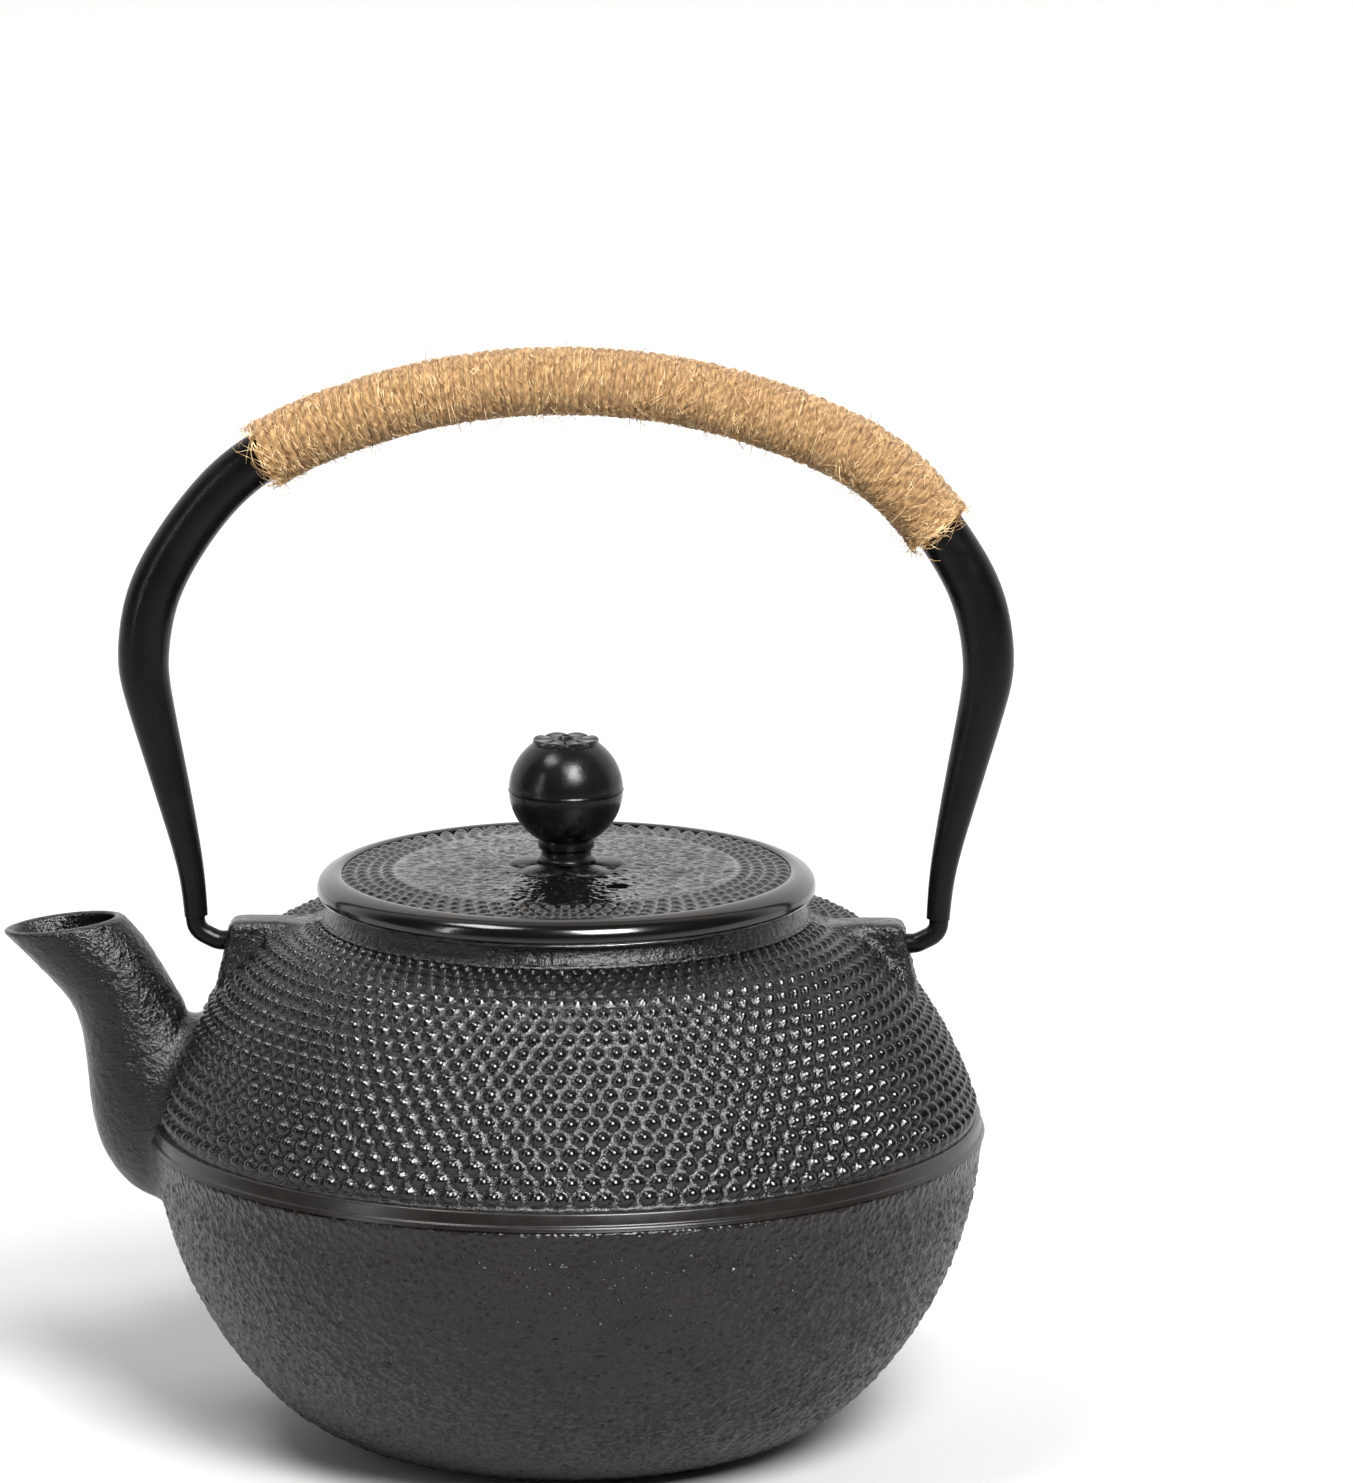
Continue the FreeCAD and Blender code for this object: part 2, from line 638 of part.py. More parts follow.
def make_hook(side):
    """Round rod from inside the leg's end, bent inwards and then level along the pivot axis."""
    label = "bail_hook_rear" if side > 0 else "bail_hook_front"
    pivot = number("pivot_height")
    foot_x = BAIL_STATIONS[-1][0]
    shoulder_x = number("hook_shoulder")
    slope = math.radians(number("hook_slope"))
    corners = [
        Vector(side * (foot_x + number("hook_root_set")), 0, number("hook_root")),
        Vector(side * foot_x, 0, pivot + (foot_x - shoulder_x) * math.tan(slope)),
        Vector(side * shoulder_x, 0, pivot),
        Vector(side * number("pin_tip"), 0, pivot),
    ]
    path = rounded_path(corners, [number("hook_bend"), number("hook_ease")])
    start_direction = (corners[1] - corners[0]).normalize()
    ring = Part.Wire(Part.makeCircle(number("pin_radius"), corners[0], start_direction))
    hook = doc.addObject("Part::Feature", label)
    hook.Label = label
    hook.Shape = path.makePipeShell([ring], True, False)
    return hook


def rounded_path(corners, radii):
    """Wire through the corners with each inner corner replaced by a tangent arc."""
    edges = []
    start = corners[0]
    for index, radius in enumerate(radii, start=1):
        into = (corners[index] - corners[index - 1]).normalize()
        away = (corners[index + 1] - corners[index]).normalize()
        turn = into.getAngle(away)
        setback = radius * math.tan(turn / 2)
        first, last = corners[index] - into * setback, corners[index] + away * setback
        centre_line = (away - into).normalize()
        middle = corners[index] + centre_line * (radius / math.cos(turn / 2) - radius)
        edges.append(Part.LineSegment(start, first).toShape())
        edges.append(Part.Arc(first, middle, last).toShape())
        start = last
    edges.append(Part.LineSegment(start, corners[-1]).toShape())
    return Part.Wire(edges)


def check_document(parts):
    doc.recompute()
    for item in doc.Objects:
        if "Invalid" in item.State or "Error" in item.State:
            raise RuntimeError("%s did not compute" % item.Name)
    for part in parts:
        if part.Shape.isNull() or not part.Shape.isValid():
            raise RuntimeError("%s has no valid shape" % part.Label)


def main():
    fill_sheet()
    line = bail_line()
    parts = make_casting() + make_infuser()
    parts += [make_lid(), make_knob_seat(), make_knob()]
    parts += make_knob_fixings()
    parts += [make_bail_arch(line), make_grip(line)]
    parts += [make_hook(1), make_hook(-1)]
    check_document(parts)
    os.makedirs("parts", exist_ok=True)
    for part in parts:
        part.Shape.exportStep("parts/%s.step" % part.Label)
        print("%-20s %9.1f mm3  %d solid(s)" % (part.Label, part.Shape.Volume,
                                                 len(part.Shape.Solids)))


main()
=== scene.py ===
import math
import random

import bmesh
import bpy
import numpy as np
from mathutils import Matrix, Vector, kdtree, noise


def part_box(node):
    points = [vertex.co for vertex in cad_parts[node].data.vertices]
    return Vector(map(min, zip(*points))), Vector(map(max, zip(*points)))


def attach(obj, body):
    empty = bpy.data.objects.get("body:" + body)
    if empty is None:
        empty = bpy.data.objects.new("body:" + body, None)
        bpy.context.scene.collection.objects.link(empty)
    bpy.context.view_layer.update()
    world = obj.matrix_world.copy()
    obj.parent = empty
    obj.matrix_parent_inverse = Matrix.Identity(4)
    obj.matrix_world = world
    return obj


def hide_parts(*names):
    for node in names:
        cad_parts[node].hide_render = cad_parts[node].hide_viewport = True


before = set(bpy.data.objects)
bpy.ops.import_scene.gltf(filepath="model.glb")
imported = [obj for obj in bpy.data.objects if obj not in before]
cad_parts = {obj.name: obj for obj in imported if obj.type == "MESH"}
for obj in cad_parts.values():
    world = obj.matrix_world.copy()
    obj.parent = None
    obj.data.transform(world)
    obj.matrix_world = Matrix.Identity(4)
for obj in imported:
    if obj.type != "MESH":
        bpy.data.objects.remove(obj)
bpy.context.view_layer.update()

# Looks of a cast iron teapot. Lengths are written in millimetres and scaled once, when a piece is
# made; +Z is up, the spout points to -X, and the origin is the centre of the foot.
MM = 0.001
SEED = 7

# Outline of the casting, as (radius, height), and the arcs between those points.
FOOT, BOWL_TURN, BOWL_TOP = (36.4, 0.0), (61.1, 12.0), (83.0, 62.4)
LEDGE = ((83.42, 62.68), (83.5, 62.9), (83.44, 63.15), (83.24, 63.32), (83.05, 63.45),
         (82.95, 63.7), (82.85, 65.5), (82.65, 65.82), (82.3, 66.0))
DOME_FOOT, SHOULDER, CROWN, NECK_FOOT = (81.8, 66.0), (61.3, 101.0), (57.2, 103.6), (48.4, 106.7)
LOW_ARC, HIGH_ARC, DOME_ARC, SHOULDER_ARC = 41.8, 76.7, 80.5, 11.2
CROWN_SLOPE = math.radians(19.4)
WALL, FOOT_WALL = 3.5, 4.2
INNER_SHOULDER = (58.83, 98.53)
AXIS_GAP = 2.0                  # radius of the small hole that a fan closes on the axis
MOUTH_RADIUS, MOUTH_FOOT, COLLAR_TOP = 44.6, 104.4, 110.6

# Hobnails: so many in each staggered row, and a last small row just under the neck. Their reach
# is a share of the pitch between them, and their height a share of that reach.
NAILS_ROUND, NAIL_COLUMNS, NAIL_REACH, NAIL_HEIGHT = 118, 8, 0.385, 0.80
NAIL_ROWS, ROW_PITCH, FIRST_ROW, LAST_ROW = 18, 2.90, 2.40, 53.5
GROUND_DEPTH, GRIT = 0.35, 0.05
FILLET_SINK = 0.45              # how deep the foot of a cast fillet goes into the pot's skin

LID_NAILS_ROUND, LID_NAIL_REACH, LID_NAIL_HEIGHT = 78, 0.37, 0.52
LID_NAIL_ROWS, LID_ROW_PITCH = 4, 2.53
LID_DISC, LID_RING, LID_SEAT, LID_TOP = 34.5, 44.8, 111.5, 116.3
VENT, VENT_RADIUS = (11.0, -18.5), 2.4

# Spout sections: lower outer end and upper inner end of the long axis, and half the width.
SPOUT_SECTIONS = [
    ((-70.0, 49.5), (-66.0, 84.0), 13.0), ((-82.5, 48.0), (-74.8, 85.0), 12.6),
    ((-91.0, 54.0), (-76.8, 87.6), 11.6), ((-95.2, 64.0), (-78.0, 90.0), 10.6),
    ((-96.6, 76.5), (-79.6, 92.8), 9.9), ((-98.4, 85.8), (-82.0, 96.8), 9.5),
    ((-103.2, 92.6), (-85.0, 101.4), 9.3), ((-113.2, 102.8), (-89.0, 105.9), 9.2),
]

# Bail centre line from the crown down the rear leg: distance from the axis, height, radius.
BAIL_STATIONS = [
    (0.0, 214.3, 4.90), (22.0, 212.4, 4.90), (42.0, 207.1, 4.95), (59.5, 199.2, 5.00),
    (70.5, 189.6, 5.05), (78.0, 179.0, 5.15), (82.4, 169.2, 5.20), (84.0, 159.0, 5.15),
    (83.2, 151.0, 4.80), (80.6, 139.8, 4.08), (77.7, 127.6, 3.35), (75.2, 115.6, 2.65),
    (74.2, 105.8, 2.35),
]
# Reach of the winding each way from the crown, the twine's radius and pitch, and its loose hairs.
GRIP_FRONT, GRIP_REAR, YARN, TWINE_PITCH, HAIRS = 62.5, 83.0, 0.98, 1.96, 4300


# ---- curves and outlines

def arc_centre(start, end, radius):
    """Centre of the arc from start to end that bulges to the right of its direction."""
    start, end = np.array(start, float), np.array(end, float)
    chord = end - start
    half = np.linalg.norm(chord) / 2
    left = np.array((-chord[1], chord[0])) / (2 * half)
    return (start + end) / 2 + left * math.sqrt(radius ** 2 - half ** 2)


def arc(start, end, radius, step):
    """Points about one step apart on that arc, both ends included."""
    centre = arc_centre(start, end, radius)
    first = math.atan2(start[1] - centre[1], start[0] - centre[0])
    last = math.atan2(end[1] - centre[1], end[0] - centre[0])
    count = max(2, round(abs(last - first) * radius / step))
    angles = np.linspace(first, last, count + 1)
    return centre + radius * np.stack((np.cos(angles), np.sin(angles)), 1)


def straight(start, end, step):
    count = max(1, round(math.dist(start, end) / step))
    share = np.linspace(0, 1, count + 1)[:, None]
    return np.array(start, float) * (1 - share) + np.array(end, float) * share


def chain(*runs):
    """One outline from runs that each start where the one before ends."""
    return np.concatenate([runs[0]] + [run[1:] for run in runs[1:]])


def spline(values, places):
    """Natural cubic spline through the rows of values at 0, 1, 2..., read at the places."""
    values = np.array(values, float)
    count = len(values)
    system = np.zeros((count, count))
    rhs = np.zeros_like(values)
    system[0, 0] = system[-1, -1] = 1
    for row in range(1, count - 1):
        system[row, row - 1:row + 2] = (1, 4, 1)
        rhs[row] = 6 * (values[row - 1] - 2 * values[row] + values[row + 1])
    bend = np.linalg.solve(system, rhs)
    places = np.asarray(places, float)
    low = np.clip(places.astype(int), 0, count - 2)
    share = (places - low)[:, None]
    rest = 1 - share
    return (values[low] * rest + values[low + 1] * share
            + ((rest ** 3 - rest) * bend[low] + (share ** 3 - share) * bend[low + 1]) / 6)


def smoothstep(low, high, value):
    share = np.clip((value - low) / (high - low), 0, 1)
    return share * share * (3 - 2 * share)


def unit(vectors, least=0.0):
    """The vectors at length 1; least keeps one of no length from dividing by zero."""
    return vectors / (np.linalg.norm(vectors, axis=-1)[..., None] + least)


def run_along(points):
    """How far along a line each of its points is."""
    return np.concatenate(([0], np.cumsum(np.linalg.norm(np.diff(points, axis=0), axis=1))))


def circle(around):
    return np.arange(around) * 2 * math.pi / around


def polar(radius, angle, height):
    """Points at a radius and an angle round Z, at a height."""
    sides = radius * np.cos(angle), radius * np.sin(angle), height
    return np.stack(np.broadcast_arrays(*sides), -1)


# ---- mesh building

class Shape:
    """Points and faces of one closed piece, kept as arrays until the mesh is made."""

    def __init__(self):
        self.points, self.faces, self.count = [], [], 0

    def add(self, points):
        """Adds a grid of points and returns its grid of indices."""
        points = np.asarray(points, float)
        indices = np.arange(self.count, self.count + points[..., 0].size)
        self.points.append(points.reshape(-1, 3))
        self.count += indices.size
        return indices.reshape(points.shape[:-1])

    def skin(self, grid, wrap=True, flip=False):
        """Quads between neighbouring rows; wrap closes each row on itself."""
        if wrap:
            grid = np.concatenate((grid, grid[:, :1]), 1)
        corners = [grid[:-1, :-1], grid[:-1, 1:], grid[1:, 1:], grid[1:, :-1]]
        if flip:
            corners.reverse()
        self.faces.append(np.stack(corners, -1).reshape(-1, 4))

    def fan(self, ring, tip, flip=False):
        ahead = np.roll(ring, -1)
        ends = (ahead, ring) if flip else (ring, ahead)
        self.faces.append(np.stack((*ends, np.full_like(ring, tip)), -1))

    def stitch(self, fine, coarse, flip=False):
        """Triangles between a fine ring and a coarse one whose count divides the fine one's."""
        ratio = len(fine) // len(coarse)
        owner = np.repeat(coarse, ratio)
        ahead = np.roll(fine, -1)
        fans = np.stack((owner, ahead, fine) if flip else (owner, fine, ahead), -1)
        corner = np.roll(fine, -ratio)[::ratio]
        following = np.roll(coarse, -1)
        gaps = np.stack((coarse, following, corner) if flip else (coarse, corner, following), -1)
        self.faces += [fans, gaps]

    def mesh(self, name):
        points = np.concatenate(self.points) * MM
        sizes = np.concatenate([np.full(len(face), face.shape[1]) for face in self.faces])
        loops = np.concatenate([face.ravel() for face in self.faces])
        mesh = bpy.data.meshes.new(name)
        mesh.vertices.add(len(points))
        mesh.vertices.foreach_set("co", points.ravel())
        mesh.loops.add(len(loops))
        mesh.loops.foreach_set("vertex_index", loops)
        mesh.polygons.add(len(sizes))
        mesh.polygons.foreach_set("loop_start", np.concatenate(([0], np.cumsum(sizes)[:-1])))
        mesh.update(calc_edges=True)
        mesh.validate()
        return mesh


def turned(outline, around, lift=None):
    """Grid of an outline turned round Z, moved along its outward normal by lift."""
    outline = np.asarray(outline, float)
    along = unit(np.gradient(outline, axis=0), 1e-12)
    lift = np.zeros((len(outline), around)) if lift is None else lift
    return polar(outline[:, :1] + along[:, 1:] * lift, circle(around),
                 outline[:, 1:] - along[:, :1] * lift)


def tube(centres, radii, around):
    """Rings round a line of centres, one radius each, carried along without twist."""
    ahead = unit(np.gradient(centres, axis=0))
    side = np.zeros_like(centres)
    side[0] = unit(np.cross(ahead[0], (0.0, 1.0, 0.1)))
    for row in range(1, len(centres)):
        side[row] = unit(side[row - 1] - ahead[row] * np.dot(side[row - 1], ahead[row]))
    over = np.cross(ahead, side)
    angles = circle(around)[:, None]
    return centres[:, None] + np.asarray(radii)[:, None, None] * (
        side[:, None] * np.cos(angles) + over[:, None] * np.sin(angles))


def closed_tube(shape, rings):
    """Adds rings as a tube with both ends closed."""
    grid = shape.add(rings)
    shape.skin(grid)
    first, last = shape.add(np.stack((rings[0].mean(0), rings[-1].mean(0))))
    shape.fan(grid[0], first, flip=True)
    shape.fan(grid[-1], last)


def finish_piece(name, shape, material, body, replaced=(), sharp=40.0):
    """Makes the object, and gives it its body, its finish and the CAD nodes it stands for."""
    mesh = shape.mesh(name) if isinstance(shape, Shape) else shape
    mesh.materials.clear()
    mesh.materials.append(MATERIALS[material])
    mesh.shade_smooth()
    if sharp:
        mesh.set_sharp_from_angle(angle=math.radians(sharp))
    piece = bpy.data.objects.new(name, mesh)
    bpy.context.scene.collection.objects.link(piece)
    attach(piece, body)
    if replaced:
        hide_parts(*replaced)
    return piece


def set_point_value(mesh, name, values):
    """Stores one number per point, for the piece's material; missing points get 0."""
    full = np.zeros(len(mesh.vertices), np.float32)
    full[:values.size] = values.ravel()
    mesh.attributes.new(name, "FLOAT", "POINT").data.foreach_set("value", full)


def field(points, function):
    """The function's value at each point of a grid, with the points given in millimetres."""
    flat = points.reshape(-1, 3)
    values = np.fromiter((function(Vector(point)) for point in flat), float, len(flat))
    return values.reshape(points.shape[:-1])


# ---- materials

class Material:
    """A node material with a Principled shader and short ways to add procedural detail."""

    def __init__(self, name):
        self.material = bpy.data.materials.new(name)
        self.material.use_nodes = True
        self.tree = self.material.node_tree
        self.shader = self.tree.nodes["Principled BSDF"]
        self.normal = None

    def node(self, kind, **values):
        node = self.tree.nodes.new(kind)
        for name, value in values.items():
            if name in node.inputs:
                node.inputs[name].default_value = value
            else:
                setattr(node, name, value)
        return node

    def feed(self, socket, value):
        """Gives a socket a number or a colour, or links another node's output to it."""
        if isinstance(value, (int, float)):
            socket.default_value = value
        elif isinstance(value, tuple):
            socket.default_value = (*value, 1.0)
        else:
            self.tree.links.new(value, socket)

    def place(self, stretch=(1, 1, 1), source="Object"):
        """Coordinates on the object itself, stretched."""
        mapping = self.node("ShaderNodeMapping", Scale=stretch)
        self.feed(mapping.inputs["Vector"], self.node("ShaderNodeTexCoord").outputs[source])
        return mapping.outputs["Vector"]

    def noise(self, size, detail=3.0, rough=0.55, where=None):
        """Noise whose features are about size metres across."""
        node = self.node("ShaderNodeTexNoise", Scale=1 / size, Detail=detail, Roughness=rough)
        self.feed(node.inputs["Vector"], where or self.place())
        return node.outputs["Fac"]

    def cells(self, size):
        """Soft cells about size metres across."""
        node = self.node("ShaderNodeTexVoronoi", feature="SMOOTH_F1", Scale=1 / size,
                         Smoothness=0.3)
        self.feed(node.inputs["Vector"], self.place())
        return node.outputs["Distance"]

    def ramp(self, value, stops):
        """Colours, or single numbers, that a value runs through from stop to stop."""
        node = self.node("ShaderNodeValToRGB")
        ramp = node.color_ramp
        while len(ramp.elements) < len(stops):
            ramp.elements.new(0.5)
        for element, (place, colour) in zip(ramp.elements, stops):
            element.position = place
            element.color = (*(colour if isinstance(colour, tuple) else (colour,) * 3), 1.0)
        self.feed(node.inputs["Fac"], value)
        return node.outputs["Color"]

    def math(self, operation, first, second=0.0, clamp=False):
        node = self.node("ShaderNodeMath", operation=operation, use_clamp=clamp)
        self.feed(node.inputs[0], first)
        self.feed(node.inputs[1], second)
        return node.outputs["Value"]

    def mix(self, share, first, second):
        """Colour between two: the mix node's colour sockets are numbers 6 and 7, and output 2."""
        node = self.node("ShaderNodeMix", data_type="RGBA")
        for index, value in ((0, share), (6, first), (7, second)):
            self.feed(node.inputs[index], value)
        return node.outputs[2]

    def attribute(self, name):
        return self.node("ShaderNodeAttribute", attribute_name=name).outputs["Fac"]

    def bump(self, height, distance):
        """Adds relief of that depth in metres on top of what is already there."""
        node = self.node("ShaderNodeBump", Distance=distance)
        self.feed(node.inputs["Height"], height)
        if self.normal is not None:
            self.feed(node.inputs["Normal"], self.normal)
        self.normal = node.outputs["Normal"]

    def set(self, **values):
        for name, value in values.items():
            self.feed(self.shader.inputs[name.replace("_", " ")], value)

    def done(self):
        if self.normal is not None:
            self.feed(self.shader.inputs["Normal"], self.normal)
        return self.material


def iron_material(name, depth, gloss, grain=0.00045, level=0.5):
    """Baked satin enamel over cast iron: fine grain, cloudy gloss, warm black."""
    iron = Material(name)
    cloud = iron.noise(0.011, detail=4)
    patch = iron.noise(0.0035, detail=5, rough=0.65)
    iron.set(Base_Color=iron.ramp(cloud, ((0.3, (0.00216, 0.002025, 0.001944)),
                                          (0.7, (0.00378, 0.003564, 0.003402)))),
             Roughness=iron.ramp(patch, ((0.3, gloss[0]), (0.72, gloss[1]))),
             Specular_IOR_Level=level)
    iron.bump(iron.noise(grain * 3.0, detail=2), depth * 1.5)
    iron.bump(iron.noise(grain, detail=3, rough=0.6), depth)
    return iron.done()


def hobnail_material(name, ground_gloss=(0.09, 0.18), grain=0.0005, depth=0.00036,
                     level=0.60):
    """Rough ground with polished nail heads: the point value nail is 1 on a head."""
    iron = Material(name)
    nail = iron.attribute("nail")
    cloud = iron.noise(0.012, detail=4)
    ground = iron.ramp(cloud, ((0.3, (0.0020, 0.0018, 0.0017)),
                               (0.7, (0.0042, 0.0037, 0.0035))))
    patch = iron.noise(0.0016, detail=4, rough=0.7)
    rough_ground = iron.ramp(patch, ((0.32, ground_gloss[0]), (0.7, ground_gloss[1])))
    iron.set(Base_Color=iron.mix(nail, ground, (0.0022, 0.0019, 0.0018)),
             Roughness=iron.mix(nail, rough_ground, (0.16, 0.16, 0.16)),
             Specular_IOR_Level=level)
    gap = iron.math("SUBTRACT", 1.0, nail, clamp=True)
    coarse = iron.noise(grain * 2.6, detail=2)
    fine = iron.noise(grain, detail=3, rough=0.65)
    gravel = iron.math("ADD", iron.math("MULTIPLY", coarse, 0.8), fine)
    share = iron.math("ADD", iron.math("MULTIPLY", gap, 0.46), 0.14)
    iron.bump(iron.math("MULTIPLY", gravel, share), depth)
    return iron.done()


def leather_material(name):
    """The bowl's satin skin: pores and cloudy gloss. Its pebbling is in the mesh, and the
    point value plain is 1 on the smooth ledge."""
    iron = Material(name)
    cloud = iron.noise(0.014, detail=5)
    patch = iron.noise(0.004, detail=5, rough=0.6)
    iron.set(Base_Color=iron.ramp(cloud, ((0.3, (0.0066, 0.0054, 0.0048)),
                                          (0.7, (0.0115, 0.0096, 0.0086)))),
             Roughness=iron.ramp(patch, ((0.3, 0.23), (0.7, 0.34))), Specular_IOR_Level=0.36)
    rough = iron.math("SUBTRACT", 1.0, iron.attribute("plain"), clamp=True)
    iron.bump(iron.math("MULTIPLY", iron.cells(0.0014), rough), 0.00062)
    iron.bump(iron.math("MULTIPLY", iron.noise(0.0006, detail=3), rough), 0.00012)
    return iron.done()


def gloss_material(name, rough, shade, level):
    """Smooth black paint with faint orange peel."""
    paint = Material(name)
    cloud = paint.noise(0.009, detail=3)
    patch = paint.noise(0.0025, detail=4, rough=0.6)
    paint.set(Base_Color=paint.ramp(cloud, ((0.3, (shade, shade * 0.97, shade * 0.97)),
                                            (0.7, (shade * 1.7, shade * 1.65, shade * 1.6)))),
              Roughness=paint.ramp(patch, ((0.3, rough[0]), (0.75, rough[1]))),
              Specular_IOR_Level=level)
    paint.bump(paint.noise(0.0022, detail=2), 0.00006)
    paint.bump(paint.noise(0.0006, detail=2), 0.000015)
    return paint.done()


def steel_material(name, stretch):
    """Stainless steel with fine lines round its axis where the noise is stretched."""
    steel = Material(name)
    lines = steel.noise(0.004, detail=5, where=steel.place(stretch))
    steel.set(Base_Color=steel.ramp(lines, ((0.3, (0.40, 0.39, 0.375)),
                                            (0.7, (0.56, 0.55, 0.53)))),
              Roughness=steel.ramp(lines, ((0.3, 0.18), (0.7, 0.32))), Metallic=1.0)
    steel.bump(lines, 0.00001)
    return steel.done()


def jute_material(name):
    """Dry jute: fibres that run along the twisted yarn, with painted shade darkening the yarn's
    creases and its sides that face the next turns and the bail.
    """
    jute = Material(name)
    fibres = jute.noise(1.0, detail=5, rough=0.75, where=jute.place((6.0, 11.0, 1.0), "UV"))
    hairs = jute.noise(1.0, detail=4, rough=0.7, where=jute.place((11.0, 40.0, 1.0), "UV"))
    patches = jute.noise(0.005, detail=3)
    base = jute.ramp(fibres, ((0.31, (0.115, 0.050, 0.015)), (0.43, (0.34, 0.185, 0.064)),
                              (0.57, (0.62, 0.378, 0.158)), (0.74, (0.84, 0.59, 0.31))))
    fine = jute.ramp(hairs, ((0.35, (0.15, 0.070, 0.022)), (0.60, (0.74, 0.475, 0.22))))
    warm = jute.ramp(patches, ((0.3, (0.36, 0.188, 0.064)), (0.75, (0.70, 0.465, 0.218))))
    colour = jute.mix(0.22, jute.mix(0.45, base, fine), warm)
    # Painted shade: the point value set in make_yarn darkens the colour to deep brown in the
    # creases between the plies and on the sides that face the next turns and the bail.
    painted_crease_shade = jute.math("MULTIPLY", jute.attribute("painted_crease_shade"), 0.80)
    jute.set(Base_Color=jute.mix(painted_crease_shade, colour, (0.125, 0.056, 0.016)),
             Roughness=jute.ramp(hairs, ((0.3, 0.70), (0.7, 0.92))),
             Specular_IOR_Level=0.25, Sheen_Weight=0.15, Sheen_Roughness=0.5)
    jute.bump(fibres, 0.00030)
    jute.bump(hairs, 0.00012)
    return jute.done()


def hair_material(name):
    """Single jute hairs, from straw to brown."""
    hair = Material(name)
    tone = hair.noise(0.0022, detail=2, rough=0.8)
    hair.set(Base_Color=hair.ramp(tone, ((0.36, (0.20, 0.098, 0.034)),
                                         (0.48, (0.55, 0.34, 0.145)),
                                         (0.62, (0.92, 0.70, 0.40)))),
             Roughness=hair.ramp(hair.noise(0.001), ((0.3, 0.55), (0.7, 0.75))),
             Specular_IOR_Level=0.3)
    return hair.done()


def floor_material(name):
    """Matt sheet with painted shade: mid grey round the pot and white well behind it, falling off
    to dark grey in front of it, where it stands in for dim surroundings.
    """
    sheet = Material(name)
    split = sheet.node("ShaderNodeSeparateXYZ")
    sheet.feed(split.inputs["Vector"], sheet.node("ShaderNodeTexCoord").outputs["Object"])
    grain = sheet.math("MULTIPLY", sheet.noise(0.004, detail=3), 0.03)
    ahead = sheet.math("ADD", split.outputs["Y"], grain)
    reach = sheet.math("MULTIPLY", sheet.math("ADD", ahead, 1.0), 0.25)
    # Painted shade: the colour runs from dark grey in front of the pot through mid grey at the pot
    # to white well behind it.
    sheet.set(Base_Color=sheet.ramp(reach, ((0.06, (0.13, 0.13, 0.13)),
                                            (0.21, (0.46, 0.46, 0.455)),
                                            (0.70, (0.92, 0.92, 0.915)))),
              Roughness=0.9, Specular_IOR_Level=0.1)
    return sheet.done()


# ---- the casting

def dome_outline(step):
    """The skin from the ledge to the neck: dome, rounded shoulder, then a flatter crown."""
    return chain(arc(DOME_FOOT, SHOULDER, DOME_ARC, step),
                 arc(SHOULDER, CROWN, SHOULDER_ARC, step), straight(CROWN, NECK_FOOT, step))


def pot_distance(points):
    """How far points stand outside the casting's turned skin, negative inside."""
    radius, height = np.hypot(points[..., 0], points[..., 1]), points[..., 2]
    dome = arc_centre(DOME_FOOT, SHOULDER, DOME_ARC)
    bowl = arc_centre(BOWL_TURN, BOWL_TOP, HIGH_ARC)
    crown = ((radius - CROWN[0]) * math.sin(CROWN_SLOPE)
             + (height - CROWN[1]) * math.cos(CROWN_SLOPE))
    above = np.maximum(np.hypot(radius - dome[0], height - dome[1]) - DOME_ARC, crown)
    below = np.hypot(radius - bowl[0], height - bowl[1]) - HIGH_ARC
    band = smoothstep(61.0, 67.0, height)
    return above * band + below * (1 - band)


def flare(distance, radius):
    """How much a concave casting fillet of that radius widens a wall this far off the skin."""
    near = np.clip(distance, 0, radius)
    return radius - np.sqrt(radius ** 2 - (radius - near) ** 2)


def settle(points, distance):
    """Moves points straight in or out until they stand that far off the casting's skin."""
    small = 0.05
    for _ in range(3):
        now = pot_distance(points)
        slope = unit(np.stack([(pot_distance(points + small * axis) - now) / small
                               for axis in np.eye(3)], -1))
        points = points + slope * (distance - now)[..., None]
    return points


def fillet(points, outward, radius):
    """Points flared by a cast fillet and held to the pot's skin, and how far off it they were."""
    distance = pot_distance(points)
    sunk = FILLET_SINK * np.clip(1 - distance / radius, 0, 1)
    flared = points + outward * flare(distance, radius)[..., None]
    near = (np.abs(distance) < radius)[..., None]
    return np.where(near, settle(flared, distance - sunk), flared), distance


def leather(point):
    """Height from 0 to 1 of soft irregular pebbling, a few millimetres across."""
    warped = point * 0.55 + noise.noise_vector(point * 0.30) * 0.7
    near, following = noise.voronoi(warped, distance_metric="DISTANCE")[0][:2]
    plateau = min(1.0, (following - near) * 2.0) ** 0.7
    return 0.55 * plateau + 0.5 * noise.fractal(point * 0.70, 0.7, 2.0, 3)


def close_skins(shape, outer, inner):
    """Adds an outer and an inner skin that are open at both ends, and returns their grids."""
    outer, inner = shape.add(outer), shape.add(inner)
    shape.skin(outer)
    shape.skin(inner, flip=True)
    return outer, inner


